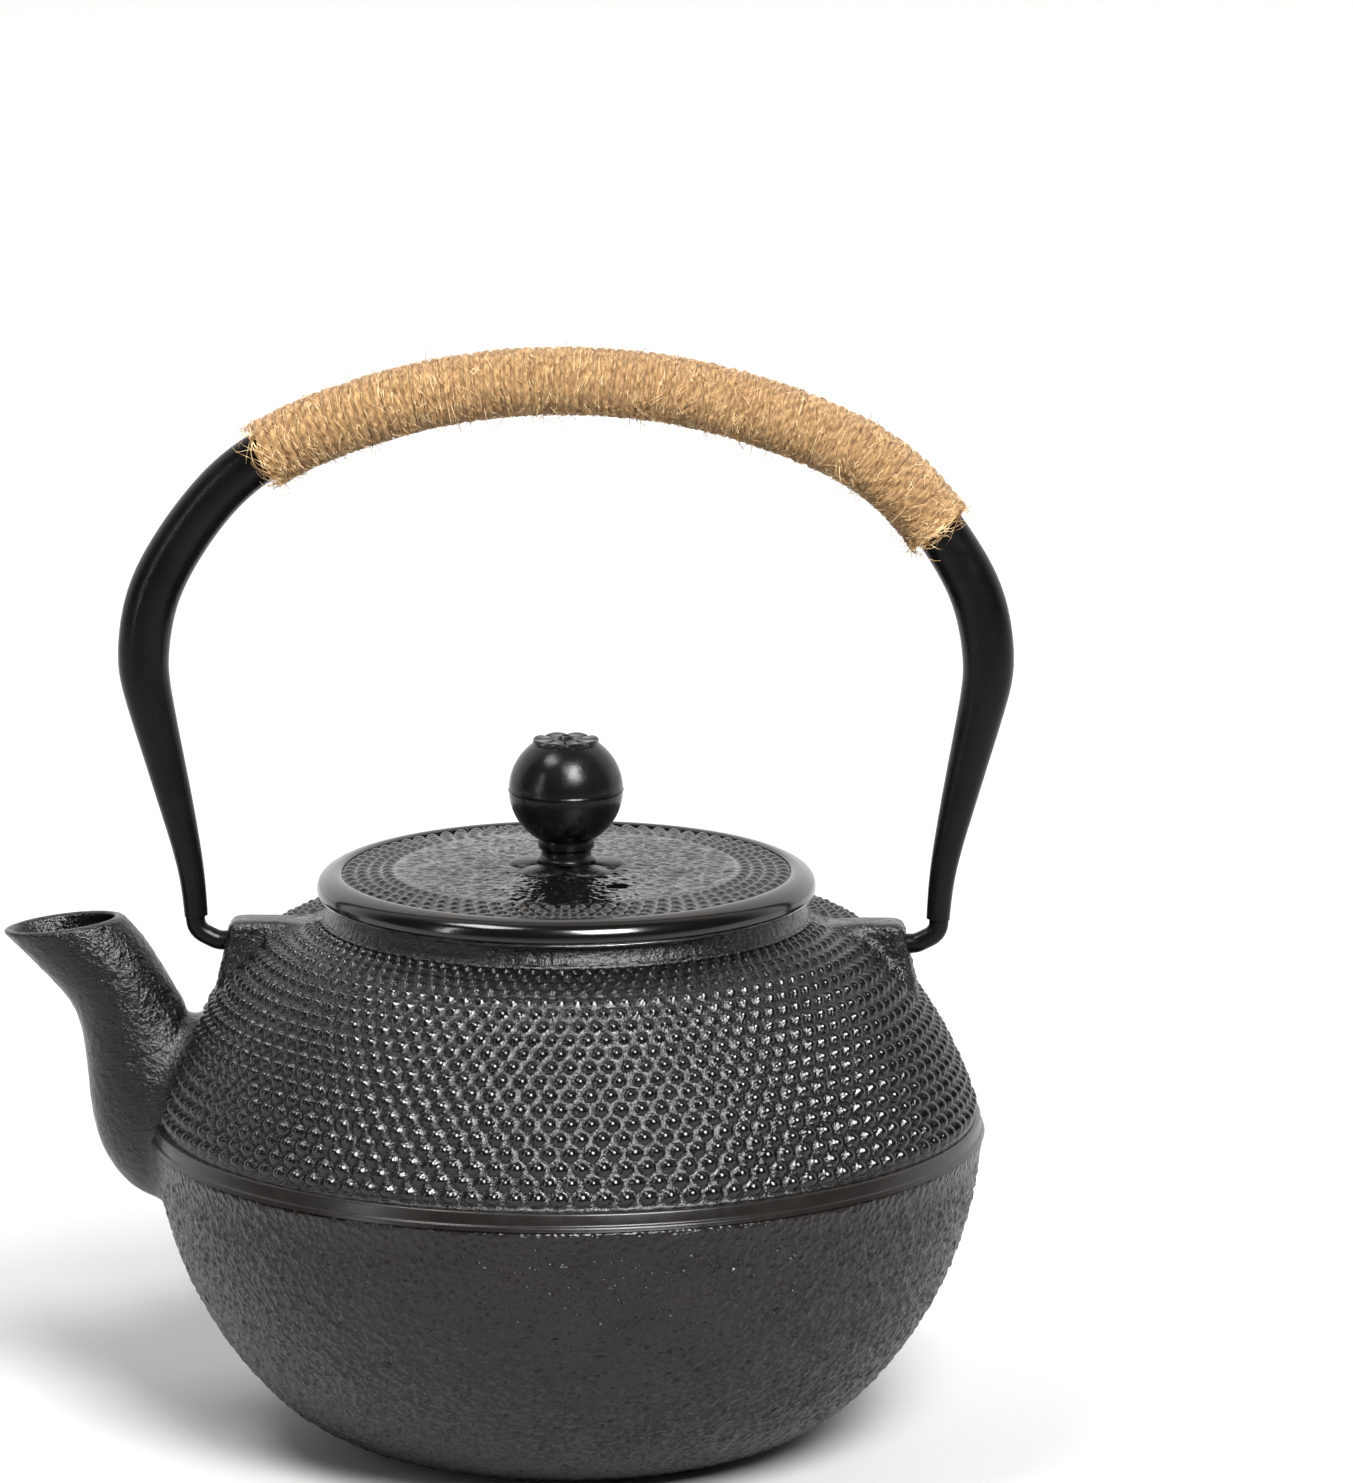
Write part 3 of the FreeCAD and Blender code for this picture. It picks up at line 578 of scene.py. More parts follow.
def make_bowl():
    """Bowl with its pebbled skin, the ledge, and a plain inside."""
    noise.seed_set(SEED)            # else Blender seeds the warp of the pebbling by the clock
    around, coarse = 720, 90
    foot = straight((AXIS_GAP, 0.0), FOOT, 6.0)
    skin = chain(arc(FOOT, BOWL_TURN, LOW_ARC, 0.66), arc(BOWL_TURN, BOWL_TOP, HIGH_ARC, 0.60))
    outline = chain(foot, skin, np.array((BOWL_TOP, *LEDGE, DOME_FOOT)))
    base = turned(outline, around)
    first, last = len(foot), len(foot) + len(skin) - 1
    height = outline[first:last + 1, 1]
    fade = smoothstep(0.0, 9.0, np.minimum(height + 2.0, BOWL_TOP[1] + 0.3 - height))[:-1]
    lift = np.zeros(base.shape[:2])
    lift[first:last] = (field(base[first:last], leather) - 0.5) * 0.56 * fade[:, None]
    lift[first:last + 1] += 0.37 * smoothstep(57.0, 62.2, height)[:, None]
    rim, floor_edge = (BOWL_TOP[0] - WALL, BOWL_TOP[1]), (32.8, FOOT_WALL)
    turn = (BOWL_TURN[0] - 2.5, BOWL_TURN[1] + 2.5)
    inner = chain(straight((AXIS_GAP, FOOT_WALL), floor_edge, 8.0),
                  arc(floor_edge, turn, LOW_ARC - WALL, 3.0),
                  arc(turn, rim, HIGH_ARC - WALL, 3.0),
                  np.array((rim, (DOME_FOOT[0] - WALL, DOME_FOOT[1]))))
    shape = Shape()
    outer, inner = close_skins(shape, turned(outline, around, lift), turned(inner, coarse))
    under, floor = shape.add(((0.0, 0.0, 0.0), (0.0, 0.0, FOOT_WALL)))
    shape.fan(outer[0], under, flip=True)
    shape.fan(inner[0], floor)
    shape.stitch(outer[-1], inner[-1], flip=True)
    piece = finish_piece("pot_bowl", shape, "bowl", "pot",
                         replaced=("pot_body",))
    plain = np.repeat(smoothstep(61.4, 62.5, outline[:, 1])[:, None], around, 1)
    set_point_value(piece.data, "plain", plain)


def row_steps(rows, start, end, samples):
    """Heights up the dome with a sample on each row and evenly spaced ones between."""
    marks = [start] + list(rows) + [end]
    steps = [start]
    for low, high in zip(marks[:-1], marks[1:]):
        count = max(1, min(samples, round((high - low) / 0.5)))
        steps += [low + (high - low) * (index + 1) / count for index in range(count)]
    return np.array(steps)


def nail_field(steps, radii, rows, count, columns, size, height, seed):
    """Grid of hobnail relief: how far each point stands up, and 0 to 1 up a nail's head.
    size is a nail's reach as a share of the pitch, and height a share of that reach."""
    around = count * columns
    generator = np.random.default_rng(seed)
    column = np.arange(around)
    relief = np.zeros((len(steps), around))
    head = np.zeros_like(relief)
    for number, row in enumerate(rows):
        shift = (columns // 2) * (number % 2)
        pitch = 2 * math.pi * np.interp(row, steps, radii) / count
        reach = size * pitch
        near = np.flatnonzero(np.abs(steps - row) < reach)
        owner = ((column + shift + columns // 2) // columns) % count
        across = ((column + shift + columns // 2) % columns - columns // 2) / columns
        tall = (height * reach * generator.uniform(0.9, 1.08, count))[owner]
        wide = generator.uniform(0.94, 1.04, count)[owner]
        for index in near:
            width = across * 2 * math.pi * radii[index] / count
            away = (width ** 2 + (steps[index] - row) ** 2) / (reach * wide) ** 2
            dome = np.sqrt(np.clip(1 - away, 0, 1))
            rise = tall * dome * (0.62 + 0.38 * dome)
            relief[index] = np.maximum(relief[index], rise)
            head[index] = np.maximum(head[index], smoothstep(0.05, 0.4, dome))
    return relief, head


def stitch_ends(shape, outer, inner):
    """Adds two skins and joins them at both ends, so that they close a wall."""
    outer, inner = close_skins(shape, outer, inner)
    shape.stitch(outer[0], inner[0])
    shape.stitch(outer[-1], inner[-1], flip=True)


def make_dome(junction):
    """Dome with its hobnails, which fade out beside the spout and the lugs."""
    fine = dome_outline(0.1)
    run = run_along(fine)
    rows = [FIRST_ROW + ROW_PITCH * index for index in range(NAIL_ROWS)] + [LAST_ROW]
    steps = row_steps(rows, 0.0, run[-1], 5)
    outline = np.stack([np.interp(steps, run, fine[:, axis]) for axis in (0, 1)], 1)
    relief, head = nail_field(steps, outline[:, 0], rows, NAILS_ROUND, NAIL_COLUMNS,
                              NAIL_REACH, NAIL_HEIGHT, SEED)
    around = NAILS_ROUND * NAIL_COLUMNS
    fade = nail_fade(turned(outline, around), junction)
    relief, head = relief * fade, head * fade
    generator = np.random.default_rng(SEED + 1)
    lift = relief - GROUND_DEPTH + generator.normal(0.0, GRIT, relief.shape) * (1 - head)
    lift[0] = lift[-1] = 0
    crown = WALL * np.array((math.sin(CROWN_SLOPE), math.cos(CROWN_SLOPE)))
    inner = chain(arc((DOME_FOOT[0] - WALL, DOME_FOOT[1]), INNER_SHOULDER, DOME_ARC - WALL, 4.0),
                  straight(INNER_SHOULDER, CROWN - crown, 4.0),
                  straight(CROWN - crown, NECK_FOOT - crown, 4.0))
    shape = Shape()
    stitch_ends(shape, turned(outline, around, lift), turned(inner, NAILS_ROUND))
    piece = finish_piece("pot_dome", shape, "hobnail", "pot", sharp=0)
    set_point_value(piece.data, "nail", head)


def nail_fade(points, junction):
    """0 beside the spout and the lugs, where the casting is plain, and 1 elsewhere."""
    fade = np.ones(points.shape[:2])
    side, across, height = np.abs(points[..., 0]), np.abs(points[..., 1]), points[..., 2]
    beside = smoothstep(4.9, 6.2, across)
    in_lug = (side > 46) & (height > 90.0)
    fade[in_lug] = np.minimum(fade, beside)[in_lug]
    tree = kdtree.KDTree(len(junction))
    for index, point in enumerate(junction):
        tree.insert(point, index)
    tree.balance()
    for row, column in np.argwhere((points[..., 0] < -62) & (across < 22)):
        distance = tree.find(points[row, column])[2]
        fade[row, column] = min(fade[row, column], float(smoothstep(0.7, 1.8, distance)))
    return fade


def make_collar():
    """Rough neck from the last hobnails up to the mouth, and the mouth's bore."""
    outline = np.array((
        (47.24, 103.4), (48.1, 106.5), NECK_FOOT, (48.25, 106.85), (47.95, 107.2), (47.65, 107.7),
        (47.4, 108.3), (47.2, 109.0), (47.05, 109.7), (46.9, 110.3), (46.6, COLLAR_TOP),
        (45.1, COLLAR_TOP), (44.75, 110.45), (MOUTH_RADIUS, 110.1), (MOUTH_RADIUS, 107.0),
        (MOUTH_RADIUS, MOUTH_FOOT)))
    around = 720
    lift = field(turned(outline, around),
                 lambda point: noise.fractal(point * 1.1, 0.7, 2.0, 3)) * 0.10
    lift[:3] = lift[10:] = 0
    shape = Shape()
    grid = shape.add(turned(outline, around, lift))
    shape.skin(np.concatenate((grid, grid[:1])))
    finish_piece("pot_collar", shape, "neck", "pot")


def spout_rings(around, step, inset=0.0):
    """Elliptical rings from the root to the lip, about step apart, set in by inset."""
    table = [(*low, *high, width) for low, high, width in SPOUT_SECTIONS]
    rough = spline(table, np.linspace(0, len(table) - 1, 400))
    middle = (rough[:, 0:2] + rough[:, 2:4]) / 2
    run = run_along(middle)
    wanted = np.linspace(0, run[-1], round(run[-1] / step) + 1)
    rings = np.stack([np.interp(wanted, run, rough[:, index]) for index in range(5)], 1)
    angles = circle(around)
    middle = (rings[:, 0:2] + rings[:, 2:4]) / 2
    reach = (rings[:, 2:4] - rings[:, 0:2]) / 2
    long_axis = np.linalg.norm(reach, axis=1)
    reach *= ((long_axis - inset) / long_axis)[:, None]
    across = (rings[:, 4] - inset)[:, None]
    plane = middle[:, None] + reach[:, None] * np.cos(angles)[:, None]
    return np.stack((plane[..., 0], across * np.sin(angles), plane[..., 1]), -1)


def spout_skin():
    """Outer rings of the spout with a casting fillet where they meet the pot."""
    rings = spout_rings(112, 0.75)
    outward = unit(rings - rings.mean(1, keepdims=True))
    rings, distance = fillet(rings, outward, 3.4)
    grain = field(rings, lambda point: noise.fractal(point * 1.3, 0.8, 2.0, 3))
    return rings + outward * (grain * 0.11)[..., None], distance


def make_spout(skin):
    """Hollow spout: the skin, a rounded lip, and the bore down towards the pot."""
    bore = spout_rings(skin.shape[1], 2.4, inset=2.1)[::-1]
    middle = (skin[-1] + bore[0]) / 2
    reach = skin[-1] - middle
    down = unit(skin[-3].mean(0) - skin[-1].mean(0))
    turn = np.radians((0, 22, 45, 68, 90, 112, 135, 158, 180))
    lip = [middle + reach * math.cos(angle) + down * (1.0 - math.sin(angle)) for angle in turn]
    shape = Shape()
    closed_tube(shape, np.concatenate((skin[:-2], np.stack(lip), bore[1:-7])))
    finish_piece("pot_spout", shape, "spout", "pot",
                 replaced=("spout",), sharp=60)


def rounded_box(reach_in, reach_out, half, corner, count):
    """Outline of a rectangle with rounded outer corners, as (x, y) points."""
    spacing = np.linspace(0, 1, count)
    edge = [(reach_in + (reach_out - corner - reach_in) * share, -half) for share in spacing]
    edge += [(reach_out - corner + corner * math.cos(angle),
              -half + corner + corner * math.sin(angle))
             for angle in np.linspace(-math.pi / 2, 0, 7)[1:]]
    face = [(reach_out, -half + corner + (2 * half - 2 * corner) * share)
            for share in spacing[1:-1:2]]
    return np.array(edge + face + [(x, -y) for x, y in reversed(edge)])


def make_lug(side):
    """Cast ear for the bail: flat rounded top, sloping face and rough sides."""
    top, corner, half = 105.4, 1.7, 4.5
    rows = []
    for height in np.concatenate((np.linspace(84.0, 103.4, 40), np.linspace(103.7, top, 10))):
        over = max(0.0, height - (top - corner))
        shrink = corner - math.sqrt(max(corner ** 2 - over ** 2, 0))
        face = 67.2 + (top - height) * 0.215
        ring = rounded_box(47.0, face - shrink, half - shrink, corner, 34)
        rows.append(np.column_stack((ring, np.full(len(ring), height))))
    grid = np.stack(rows)
    outward = grid - grid.mean(1, keepdims=True)
    outward[..., 0] *= np.where(outward[..., 0] > 7.5, 1.0, 0.0)
    outward[..., 2] = 0
    outward, fillet_radius = unit(outward, 1e-9), 2.0
    flared, distance = fillet(grid, outward, fillet_radius)
    near = (np.abs(distance) < fillet_radius) & (np.abs(outward[..., 1]) > 0.5)
    grid = np.where(near[..., None], flared, grid)
    apart = Vector((side * 40, 0, 0))
    rough = field(grid, lambda point: noise.fractal(point + apart, 0.75, 2.0, 4))
    calm = smoothstep(top - 0.2, top - 1.4, grid[..., 2])
    grid = (grid + outward * (rough * 0.26 * calm)[..., None]) * (side, side, 1.0)
    shape = Shape()
    closed_tube(shape, grid)
    name = "pot_lug_rear" if side > 0 else "pot_lug_front"
    finish_piece(name, shape, "lug", "pot", sharp=50)


def make_casting():
    """The pot's six pieces, of which the bowl stands for the whole CAD casting but the spout."""
    skin, distance = spout_skin()
    rim = skin[(distance > 0.0) & (distance < 1.0)]
    make_bowl()
    make_dome(rim)
    make_collar()
    make_spout(skin)
    make_lug(1)
    make_lug(-1)


# ---- lid and knob

def pebble(point):
    """Low ripples of the lid's disc, about a millimetre and a half across."""
    return noise.fractal(Vector((point.x * 0.55, point.y * 0.85, point.z)), 0.9, 2.1, 2)


def make_lid():
    """Rippled disc, hobnail ring and rolled rim, the skirt below them, and the vent hole."""
    around = LID_NAILS_ROUND * NAIL_COLUMNS
    disc = chain(straight((2.5, LID_TOP), (13.5, LID_TOP), 0.6),
                 straight((13.5, LID_TOP), (LID_DISC, 116.1), 0.5))
    rows = [LID_DISC + 1.35 + LID_ROW_PITCH * index for index in range(LID_NAIL_ROWS)]
    steps = row_steps(rows, LID_DISC, LID_RING, 5)
    ring = np.stack((steps, 116.1 - (steps - LID_DISC) / (LID_RING - LID_DISC)), 1)
    rim = np.array(((LID_RING, 115.1), (44.9, 115.34), (45.15, 115.54), (45.6, 115.68),
                    (46.1, 115.70), (46.7, 115.60), (47.35, 115.40), (48.0, 115.10),
                    (48.6, 114.72), (49.15, 114.22), (49.52, 113.65), (49.74, 113.0),
                    (49.8, 112.35), (49.78, 111.8), (49.70, 111.5), (49.6, 111.38),
                    (49.5, 111.37), (49.45, 111.42), (49.45, LID_SEAT), (48.9, LID_SEAT)))
    outline = chain(disc, ring, rim)[::-1]
    base = turned(outline, around)
    lift = np.zeros(base.shape[:2])
    heads = np.zeros_like(lift)
    relief, head = nail_field(steps, steps, rows, LID_NAILS_ROUND, NAIL_COLUMNS,
                              LID_NAIL_REACH, LID_NAIL_HEIGHT, SEED + 2)
    ring_rows = slice(len(rim) - 1, len(rim) - 1 + len(ring))
    lift[ring_rows] = relief[::-1] - 0.18
    heads[ring_rows] = head[::-1]
    heads[:len(rim) - 1] = 0.85
    disc_rows = slice(len(outline) - len(disc), len(outline))
    edge = smoothstep(0.0, 1.5, LID_DISC - outline[disc_rows, 0])
    lift[disc_rows] += field(base[disc_rows], pebble) * 0.34 * edge[:, None]
    under = np.array(((41.6, LID_SEAT), (41.6, 108.3), (41.3, 108.0), (39.5, 108.0),
                      (39.2, 108.3), (39.2, 113.2), (2.5, 113.2)))
    shape = Shape()
    stitch_ends(shape, turned(outline, around, lift), turned(under, LID_NAILS_ROUND))
    mesh = shape.mesh("lid_plate")
    set_point_value(mesh, "nail", heads)
    finish_piece("lid_casting", drilled(mesh, VENT, VENT_RADIUS), "lid", "lid",
                 replaced=("lid",), sharp=45)


def drilled(mesh, centre, radius):
    """The mesh with a round hole cut straight down through it."""
    cutter_mesh = bpy.data.meshes.new("vent_cutter")
    cutter = bmesh.new()
    bmesh.ops.create_cone(cutter, cap_ends=True, segments=64, radius1=radius * MM,
                          radius2=radius * MM, depth=20 * MM)
    cutter.to_mesh(cutter_mesh)
    cutter.free()
    plate = bpy.data.objects.new("lid_blank", mesh)
    drill = bpy.data.objects.new("vent_drill", cutter_mesh)
    drill.location = (centre[0] * MM, centre[1] * MM, 114 * MM)
    for thing in (plate, drill):
        bpy.context.scene.collection.objects.link(thing)
    cut = plate.modifiers.new("vent", "BOOLEAN")
    cut.operation, cut.solver, cut.object = "DIFFERENCE", "EXACT", drill
    bpy.context.view_layer.update()
    solid = plate.evaluated_get(bpy.context.evaluated_depsgraph_get())
    result = bpy.data.meshes.new_from_object(solid)
    for thing in (plate, drill):
        bpy.data.objects.remove(thing)
    bpy.data.meshes.remove(cutter_mesh)
    return result


def make_knob_seat():
    """Five-petalled blossom plate: low rounded petals round a raised core."""
    petal, reach, core = 4.4, 7.7, 6.6
    angles = circle(300)
    nearest = (angles - math.pi / 2 + math.pi / 5) % (2 * math.pi / 5) - math.pi / 5
    inside = np.maximum(petal ** 2 - (reach * np.sin(nearest)) ** 2, 0)
    edge = np.maximum(reach * np.cos(nearest) + np.sqrt(inside), core)
    grid = [polar(edge, angles, LID_TOP - 0.5)]
    for share in np.concatenate(([1.0, 0.99], np.linspace(0.97, 0.3, 18))):
        radius = edge * share
        away = np.hypot(radius * np.cos(nearest) - reach, radius * np.sin(nearest)) / petal
        lobe = 1.25 * np.sqrt(np.clip(1 - away ** 2, 0, 1))
        hub = 1.05 * np.sqrt(np.clip(1 - (radius / core) ** 2, 0, 1))
        rise = np.maximum(np.maximum(lobe, hub), 0.15)
        grid.append(polar(radius, angles, LID_TOP + rise))
    shape = Shape()
    closed_tube(shape, np.stack(grid))
    finish_piece("knob_blossom", shape, "blossom", "lid",
                 replaced=("knob_seat",))


def make_knob():
    """Gloss ball with its mould seam, a short ringed neck and a plain rosette on top."""
    middle, radius = 131.9, 11.4
    neck = np.array(((2.6, 117.2), (5.4, 117.2), (5.75, 117.4), (5.8, 117.9), (5.5, 118.35),
                     (5.05, 118.7), (4.95, 119.2), (4.98, 119.7), (5.3, 120.0), (5.6, 120.3),
                     (5.62, 121.0), (5.6, 121.7), (5.55, 121.98)))
    turn = np.linspace(math.asin((121.98 - middle) / radius), math.acos(6.6 / radius), 92)[1:]
    reach = radius + 0.17 * np.exp(-((turn * radius) / 0.17) ** 2)
    ball = np.stack((reach * np.cos(turn), middle + reach * np.sin(turn)), 1)
    crown = np.array(((6.62, 141.35), (6.72, 141.65), (6.70, 142.0), (6.5, 142.25), (6.2, 142.38)))
    face = straight((6.2, 142.38), (0.6, 142.4), 0.22)
    around = 240
    grid = turned(np.concatenate((neck, ball, crown, face[1:])), around)
    petals = np.abs(np.sin(4 * circle(around)))
    distance = np.hypot(grid[..., 0], grid[..., 1])
    on_face = grid[..., 2] > 141.3
    groove = (1 - petals ** 0.5) * smoothstep(1.9, 3.0, distance)
    cup = 0.30 * np.exp(-((distance - 4.4) / 1.5) ** 2) * petals
    boss = 0.45 * smoothstep(1.75, 1.25, distance) - 0.35 * smoothstep(0.95, 0.5, distance)
    moat = -0.25 * np.exp(-((distance - 2.1) / 0.35) ** 2)
    grid[..., 2] += on_face * (boss + moat - cup - 0.62 * groove)
    inward = on_face * 0.35 * groove * smoothstep(5.6, 6.5, distance) / np.maximum(distance, 1e-6)
    grid[..., :2] *= (1 - inward)[..., None]
    shape = Shape()
    closed_tube(shape, grid)
    finish_piece("knob_ball", shape, "knob", "lid",
                 replaced=("knob",), sharp=35)


# ---- infuser

def woven_tube(shape, centres, radius=0.17):
    """One wire with a square section, closed on itself when its ends meet."""
    closed = np.linalg.norm(centres[0] - centres[-1]) < 1e-6
    line = centres[:-1] if closed else centres
    ahead = np.roll(line, -1, 0) - np.roll(line, 1, 0) if closed else np.gradient(line, axis=0)
    ahead = unit(ahead)
    helper = np.array((0.0, 0.0, 1.0)) if abs(ahead[0][2]) < 0.7 else np.array((1.0, 0.0, 0.0))
    side = unit(np.cross(ahead, helper))
    over = np.cross(ahead, side)
    corners = ((1, 0), (0, 1), (-1, 0), (0, -1))
    rings = np.stack([line + radius * (a * side + b * over) for a, b in corners], 1)
    if closed:
        grid = shape.add(rings)
        shape.skin(np.concatenate((grid, grid[:1])))
    else:
        closed_tube(shape, rings)


def make_mesh_wall():
    """Woven side of the basket: upright wires and hoops that pass over and under them."""
    low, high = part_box("infuser_mesh_wall")
    radius = high.x / MM - 0.25
    floor, ceiling = low.z / MM, high.z / MM
    uprights, pitch, weave = 200, 1.35, 0.16
    hoops = int((ceiling - floor) / pitch)
    angles = 2 * math.pi * np.arange(uprights + 1) / uprights
    heights = floor + pitch * np.arange(hoops + 1)
    shape = Shape()
    for upright in range(uprights):
        reach = radius + weave * np.where((np.arange(hoops + 1) + upright) % 2, 1, -1)
        woven_tube(shape, polar(reach, angles[upright], heights))
    for hoop in range(1, hoops):
        reach = radius + weave * np.where((np.arange(uprights + 1) + hoop) % 2, -1, 1)
        reach[-1] = reach[0]
        woven_tube(shape, polar(reach, angles, heights[hoop]))
    finish_piece("infuser_weave_wall", shape, "mesh", "infuser",
                 replaced=("infuser_mesh_wall",), sharp=0)


def make_mesh_base():
    """Woven bottom of the basket, cut to a circle."""
    low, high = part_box("infuser_mesh_base")
    radius, height = high.x / MM - 0.2, (low.z + high.z) / MM / 2
    pitch, weave = 1.35, 0.14
    count = int(radius / pitch)
    shape = Shape()
    for turn in (0, 1):
        for number in range(-count, count + 1):
            offset = number * pitch
            half = math.sqrt(max(radius ** 2 - offset ** 2, 0))
            reach = int(half / pitch)
            if reach < 1:
                continue
            steps = np.arange(-reach, reach + 1)
            over = height + weave * np.where((steps + number + turn) % 2, 1, -1)
            along, across = steps * pitch, np.full(len(steps), offset)
            line = (across, along) if turn else (along, across)
            woven_tube(shape, np.stack((*line, over), 1), radius=0.15)
    finish_piece("infuser_weave_base", shape, "mesh", "infuser",
                 replaced=("infuser_mesh_base",), sharp=0)


# ---- bail and grip

def bail_samples(step):
    """Evenly spaced samples of the whole bail: distance from the crown, centre and radius."""
    table = [(-x, z, radius) for x, z, radius in reversed(BAIL_STATIONS[1:])] + BAIL_STATIONS
    rough = spline(table, np.linspace(0, len(table) - 1, 1200))
    run = run_along(rough[:, :2])
    wanted = np.linspace(0, run[-1], round(run[-1] / step) + 1)
    values = np.stack([np.interp(wanted, run, rough[:, index]) for index in range(3)], 1)
    centres = np.stack((values[:, 0], np.zeros(len(wanted)), values[:, 1]), 1)
    return wanted - run[-1] / 2, centres, values[:, 2]


def make_bail():
    """Tapered tube with softly dented skin and rolled-in ends."""
    _, centres, radii = bail_samples(1.5)
    wobble = field(centres, lambda point: noise.noise(point * 0.05)) * 0.10
    rings = tube(centres, radii + wobble * (radii > 3), 56)
    first, last = [[centres[end] + (rings[end] - centres[end]) * share for share in (0.9, 0.75)]
                   for end in (0, -1)]
    shape = Shape()
    closed_tube(shape, np.concatenate((first[::-1], rings, last)))
    finish_piece("bail_tube", shape, "bail", "bail",
                 replaced=("bail_arch",))


class Grip:
    """The bail's line under the winding, read at any distance from the crown."""

    def __init__(self):
        self.reach, centres, self.radii = bail_samples(0.5)
        self.table = np.concatenate((centres, np.gradient(centres, axis=0)), 1)

    def place(self, along, angle, rise):
        """Points at a distance along the bail, an angle round it, and a rise off its skin."""
        row = np.stack([np.interp(along, self.reach, self.table[:, index])
                        for index in range(6)], -1)
        side = np.array((0.0, 1.0, 0.0))
        outward = (np.cross(unit(row[..., 3:]), side) * np.cos(angle)[..., None]
                   + side * np.sin(angle)[..., None])
        radius = np.interp(along, self.reach, self.radii) + rise
        return row[..., :3] + outward * radius[..., None], outward


def yarn_line(grip):
    """Centre line of the wound yarn, and for each sample the direction away from the bail."""
    generator = np.random.default_rng(SEED + 3)
    per_turn = 50
    turns = int((GRIP_REAR + GRIP_FRONT - 2 * YARN) / TWINE_PITCH)
    phase = np.arange(turns * per_turn + 1) / per_turn
    marks = np.arange(2 * turns + 3) / 2
    drift = np.interp(phase, marks, generator.normal(0, 0.10, len(marks)))
    loose = np.interp(phase, marks, generator.uniform(-0.12, 0.14, len(marks)))
    along = -GRIP_FRONT + YARN + TWINE_PITCH * phase + drift
    return grip.place(along, 2 * math.pi * phase + 0.6, YARN - 0.06 + loose)


def make_yarn(grip):
    """Two-ply twine: one long winding whose lobed, hairy section twists along its length."""
    line, outward = yarn_line(grip)
    around, plies, lay = 18, 2, 5.2
    forward = np.gradient(line, axis=0)
    run = np.cumsum(np.linalg.norm(forward, axis=1))
    side = np.cross(unit(forward), outward)
    angles = circle(around)
    twist = angles[None] - (2 * math.pi * run / lay)[:, None]
    lobes = np.abs(np.cos(plies * 0.5 * twist)) ** 0.6
    strands = np.stack((np.broadcast_to(run[:, None] * 0.35, lobes.shape),
                        np.cos(twist) * 2.4, np.sin(twist) * 2.4), -1)
    ridges = field(strands, lambda point: noise.fractal(point, 0.8, 2.0, 2))
    thick = YARN * (0.80 + 0.21 * lobes + 0.20 * ridges)
    rings = (line[:, None] + outward[:, None] * (thick * np.cos(angles))[..., None]
             + side[:, None] * (thick * 1.24 * np.sin(angles))[..., None])
    shape = Shape()
    closed_tube(shape, rings[:, ::-1])
    piece = finish_piece("jute_twine", shape, "jute", "bail",
                         replaced=("jute_wrap",), sharp=0)
    # Painted shade: how much the yarn is darkened, more in the grooves between the plies and on
    # the sides facing the next turns and the bail.
    painted_crease_shade = np.clip(1.15 - 0.75 * lobes - 0.9 * ridges, 0, 1)
    painted_crease_shade = np.maximum(painted_crease_shade, smoothstep(0.55, 0.0, np.cos(angles))[None] * 0.9)
    set_point_value(piece.data, "painted_crease_shade", painted_crease_shade[:, ::-1])
    add_yarn_map(piece, len(rings), around, run, lay)


def add_yarn_map(piece, rows, around, run, lay):
    """Map that follows the fibres: U along the yarn in centimetres, V round it with the twist."""
    loops = np.zeros(len(piece.data.loops), int)
    piece.data.loops.foreach_get("vertex_index", loops)
    row, column = np.minimum(loops // around, rows - 1), loops % around
    layer = piece.data.uv_layers.new(name="fibres")
    values = np.stack((run[row] / 10, column / around + run[row] / lay), 1)
    layer.data.foreach_set("uv", values.ravel().astype(np.float32))


def make_fibres(grip):
    """Loose hairs of the twine: most lie across the turns, some curl off the winding."""
    generator = random.Random(SEED + 5)
    shape = Shape()
    steps = 7
    share = np.linspace(0, 1, steps)
    for _ in range(HAIRS):
        stray = generator.random() < 0.16
        along = generator.uniform(-GRIP_FRONT + 0.6, GRIP_REAR - 0.6)
        if generator.random() < 0.12:
            along = generator.choice((-GRIP_FRONT + 0.8, GRIP_REAR - 0.8))
        angle = generator.uniform(0, 2 * math.pi)
        if generator.random() < 0.35:
            angle = math.pi + generator.gauss(0, 0.7)
        skew = generator.gauss(0, 1.7)
        sweep = generator.choice((-1, 1)) * generator.uniform(0.25, 1.0)
        lift = generator.uniform(0.6, 3.4) if stray else generator.uniform(-0.15, 0.35)
        wave = generator.uniform(0, 6.3)
        top = 2 * YARN - 0.20
        rise = top + lift * share ** 1.6 + 0.12 * np.sin(wave + 5 * share)
        path, _ = grip.place(along + skew * share * (1 + 0.3 * np.sin(wave + 4 * share)),
                             angle + sweep * share, rise)
        thickness = generator.uniform(0.05, 0.10) * np.linspace(1.0, 0.4, steps)
        closed_tube(shape, tube(path, thickness, 3))
    finish_piece("jute_fibres", shape, "fibre", "bail", sharp=0)


# ---- studio

def make_camera():
    """Long lens a little above level, looking slightly from the right of square on."""
    distance, rise, swing, roll = 1.8, math.radians(11.5), math.radians(1.96), math.radians(-0.16)
    target = Vector((0.02207, 0.0, 0.14168))
    away = Vector((math.sin(swing) * math.cos(rise), -math.cos(swing) * math.cos(rise),
                   math.sin(rise)))
    data = bpy.data.cameras.new("camera")
    data.sensor_fit = "HORIZONTAL"
    data.sensor_width = 36.0
    data.lens = 240.7
    data.clip_end = 50.0
    camera = bpy.data.objects.new("camera", data)
    camera.location = target + away * distance
    turn = (-away).to_track_quat("-Z", "Y").to_matrix().to_4x4()
    camera.rotation_euler = (turn @ Matrix.Rotation(roll, 4, "Z")).to_euler()
    bpy.context.scene.collection.objects.link(camera)
    bpy.context.scene.camera = camera


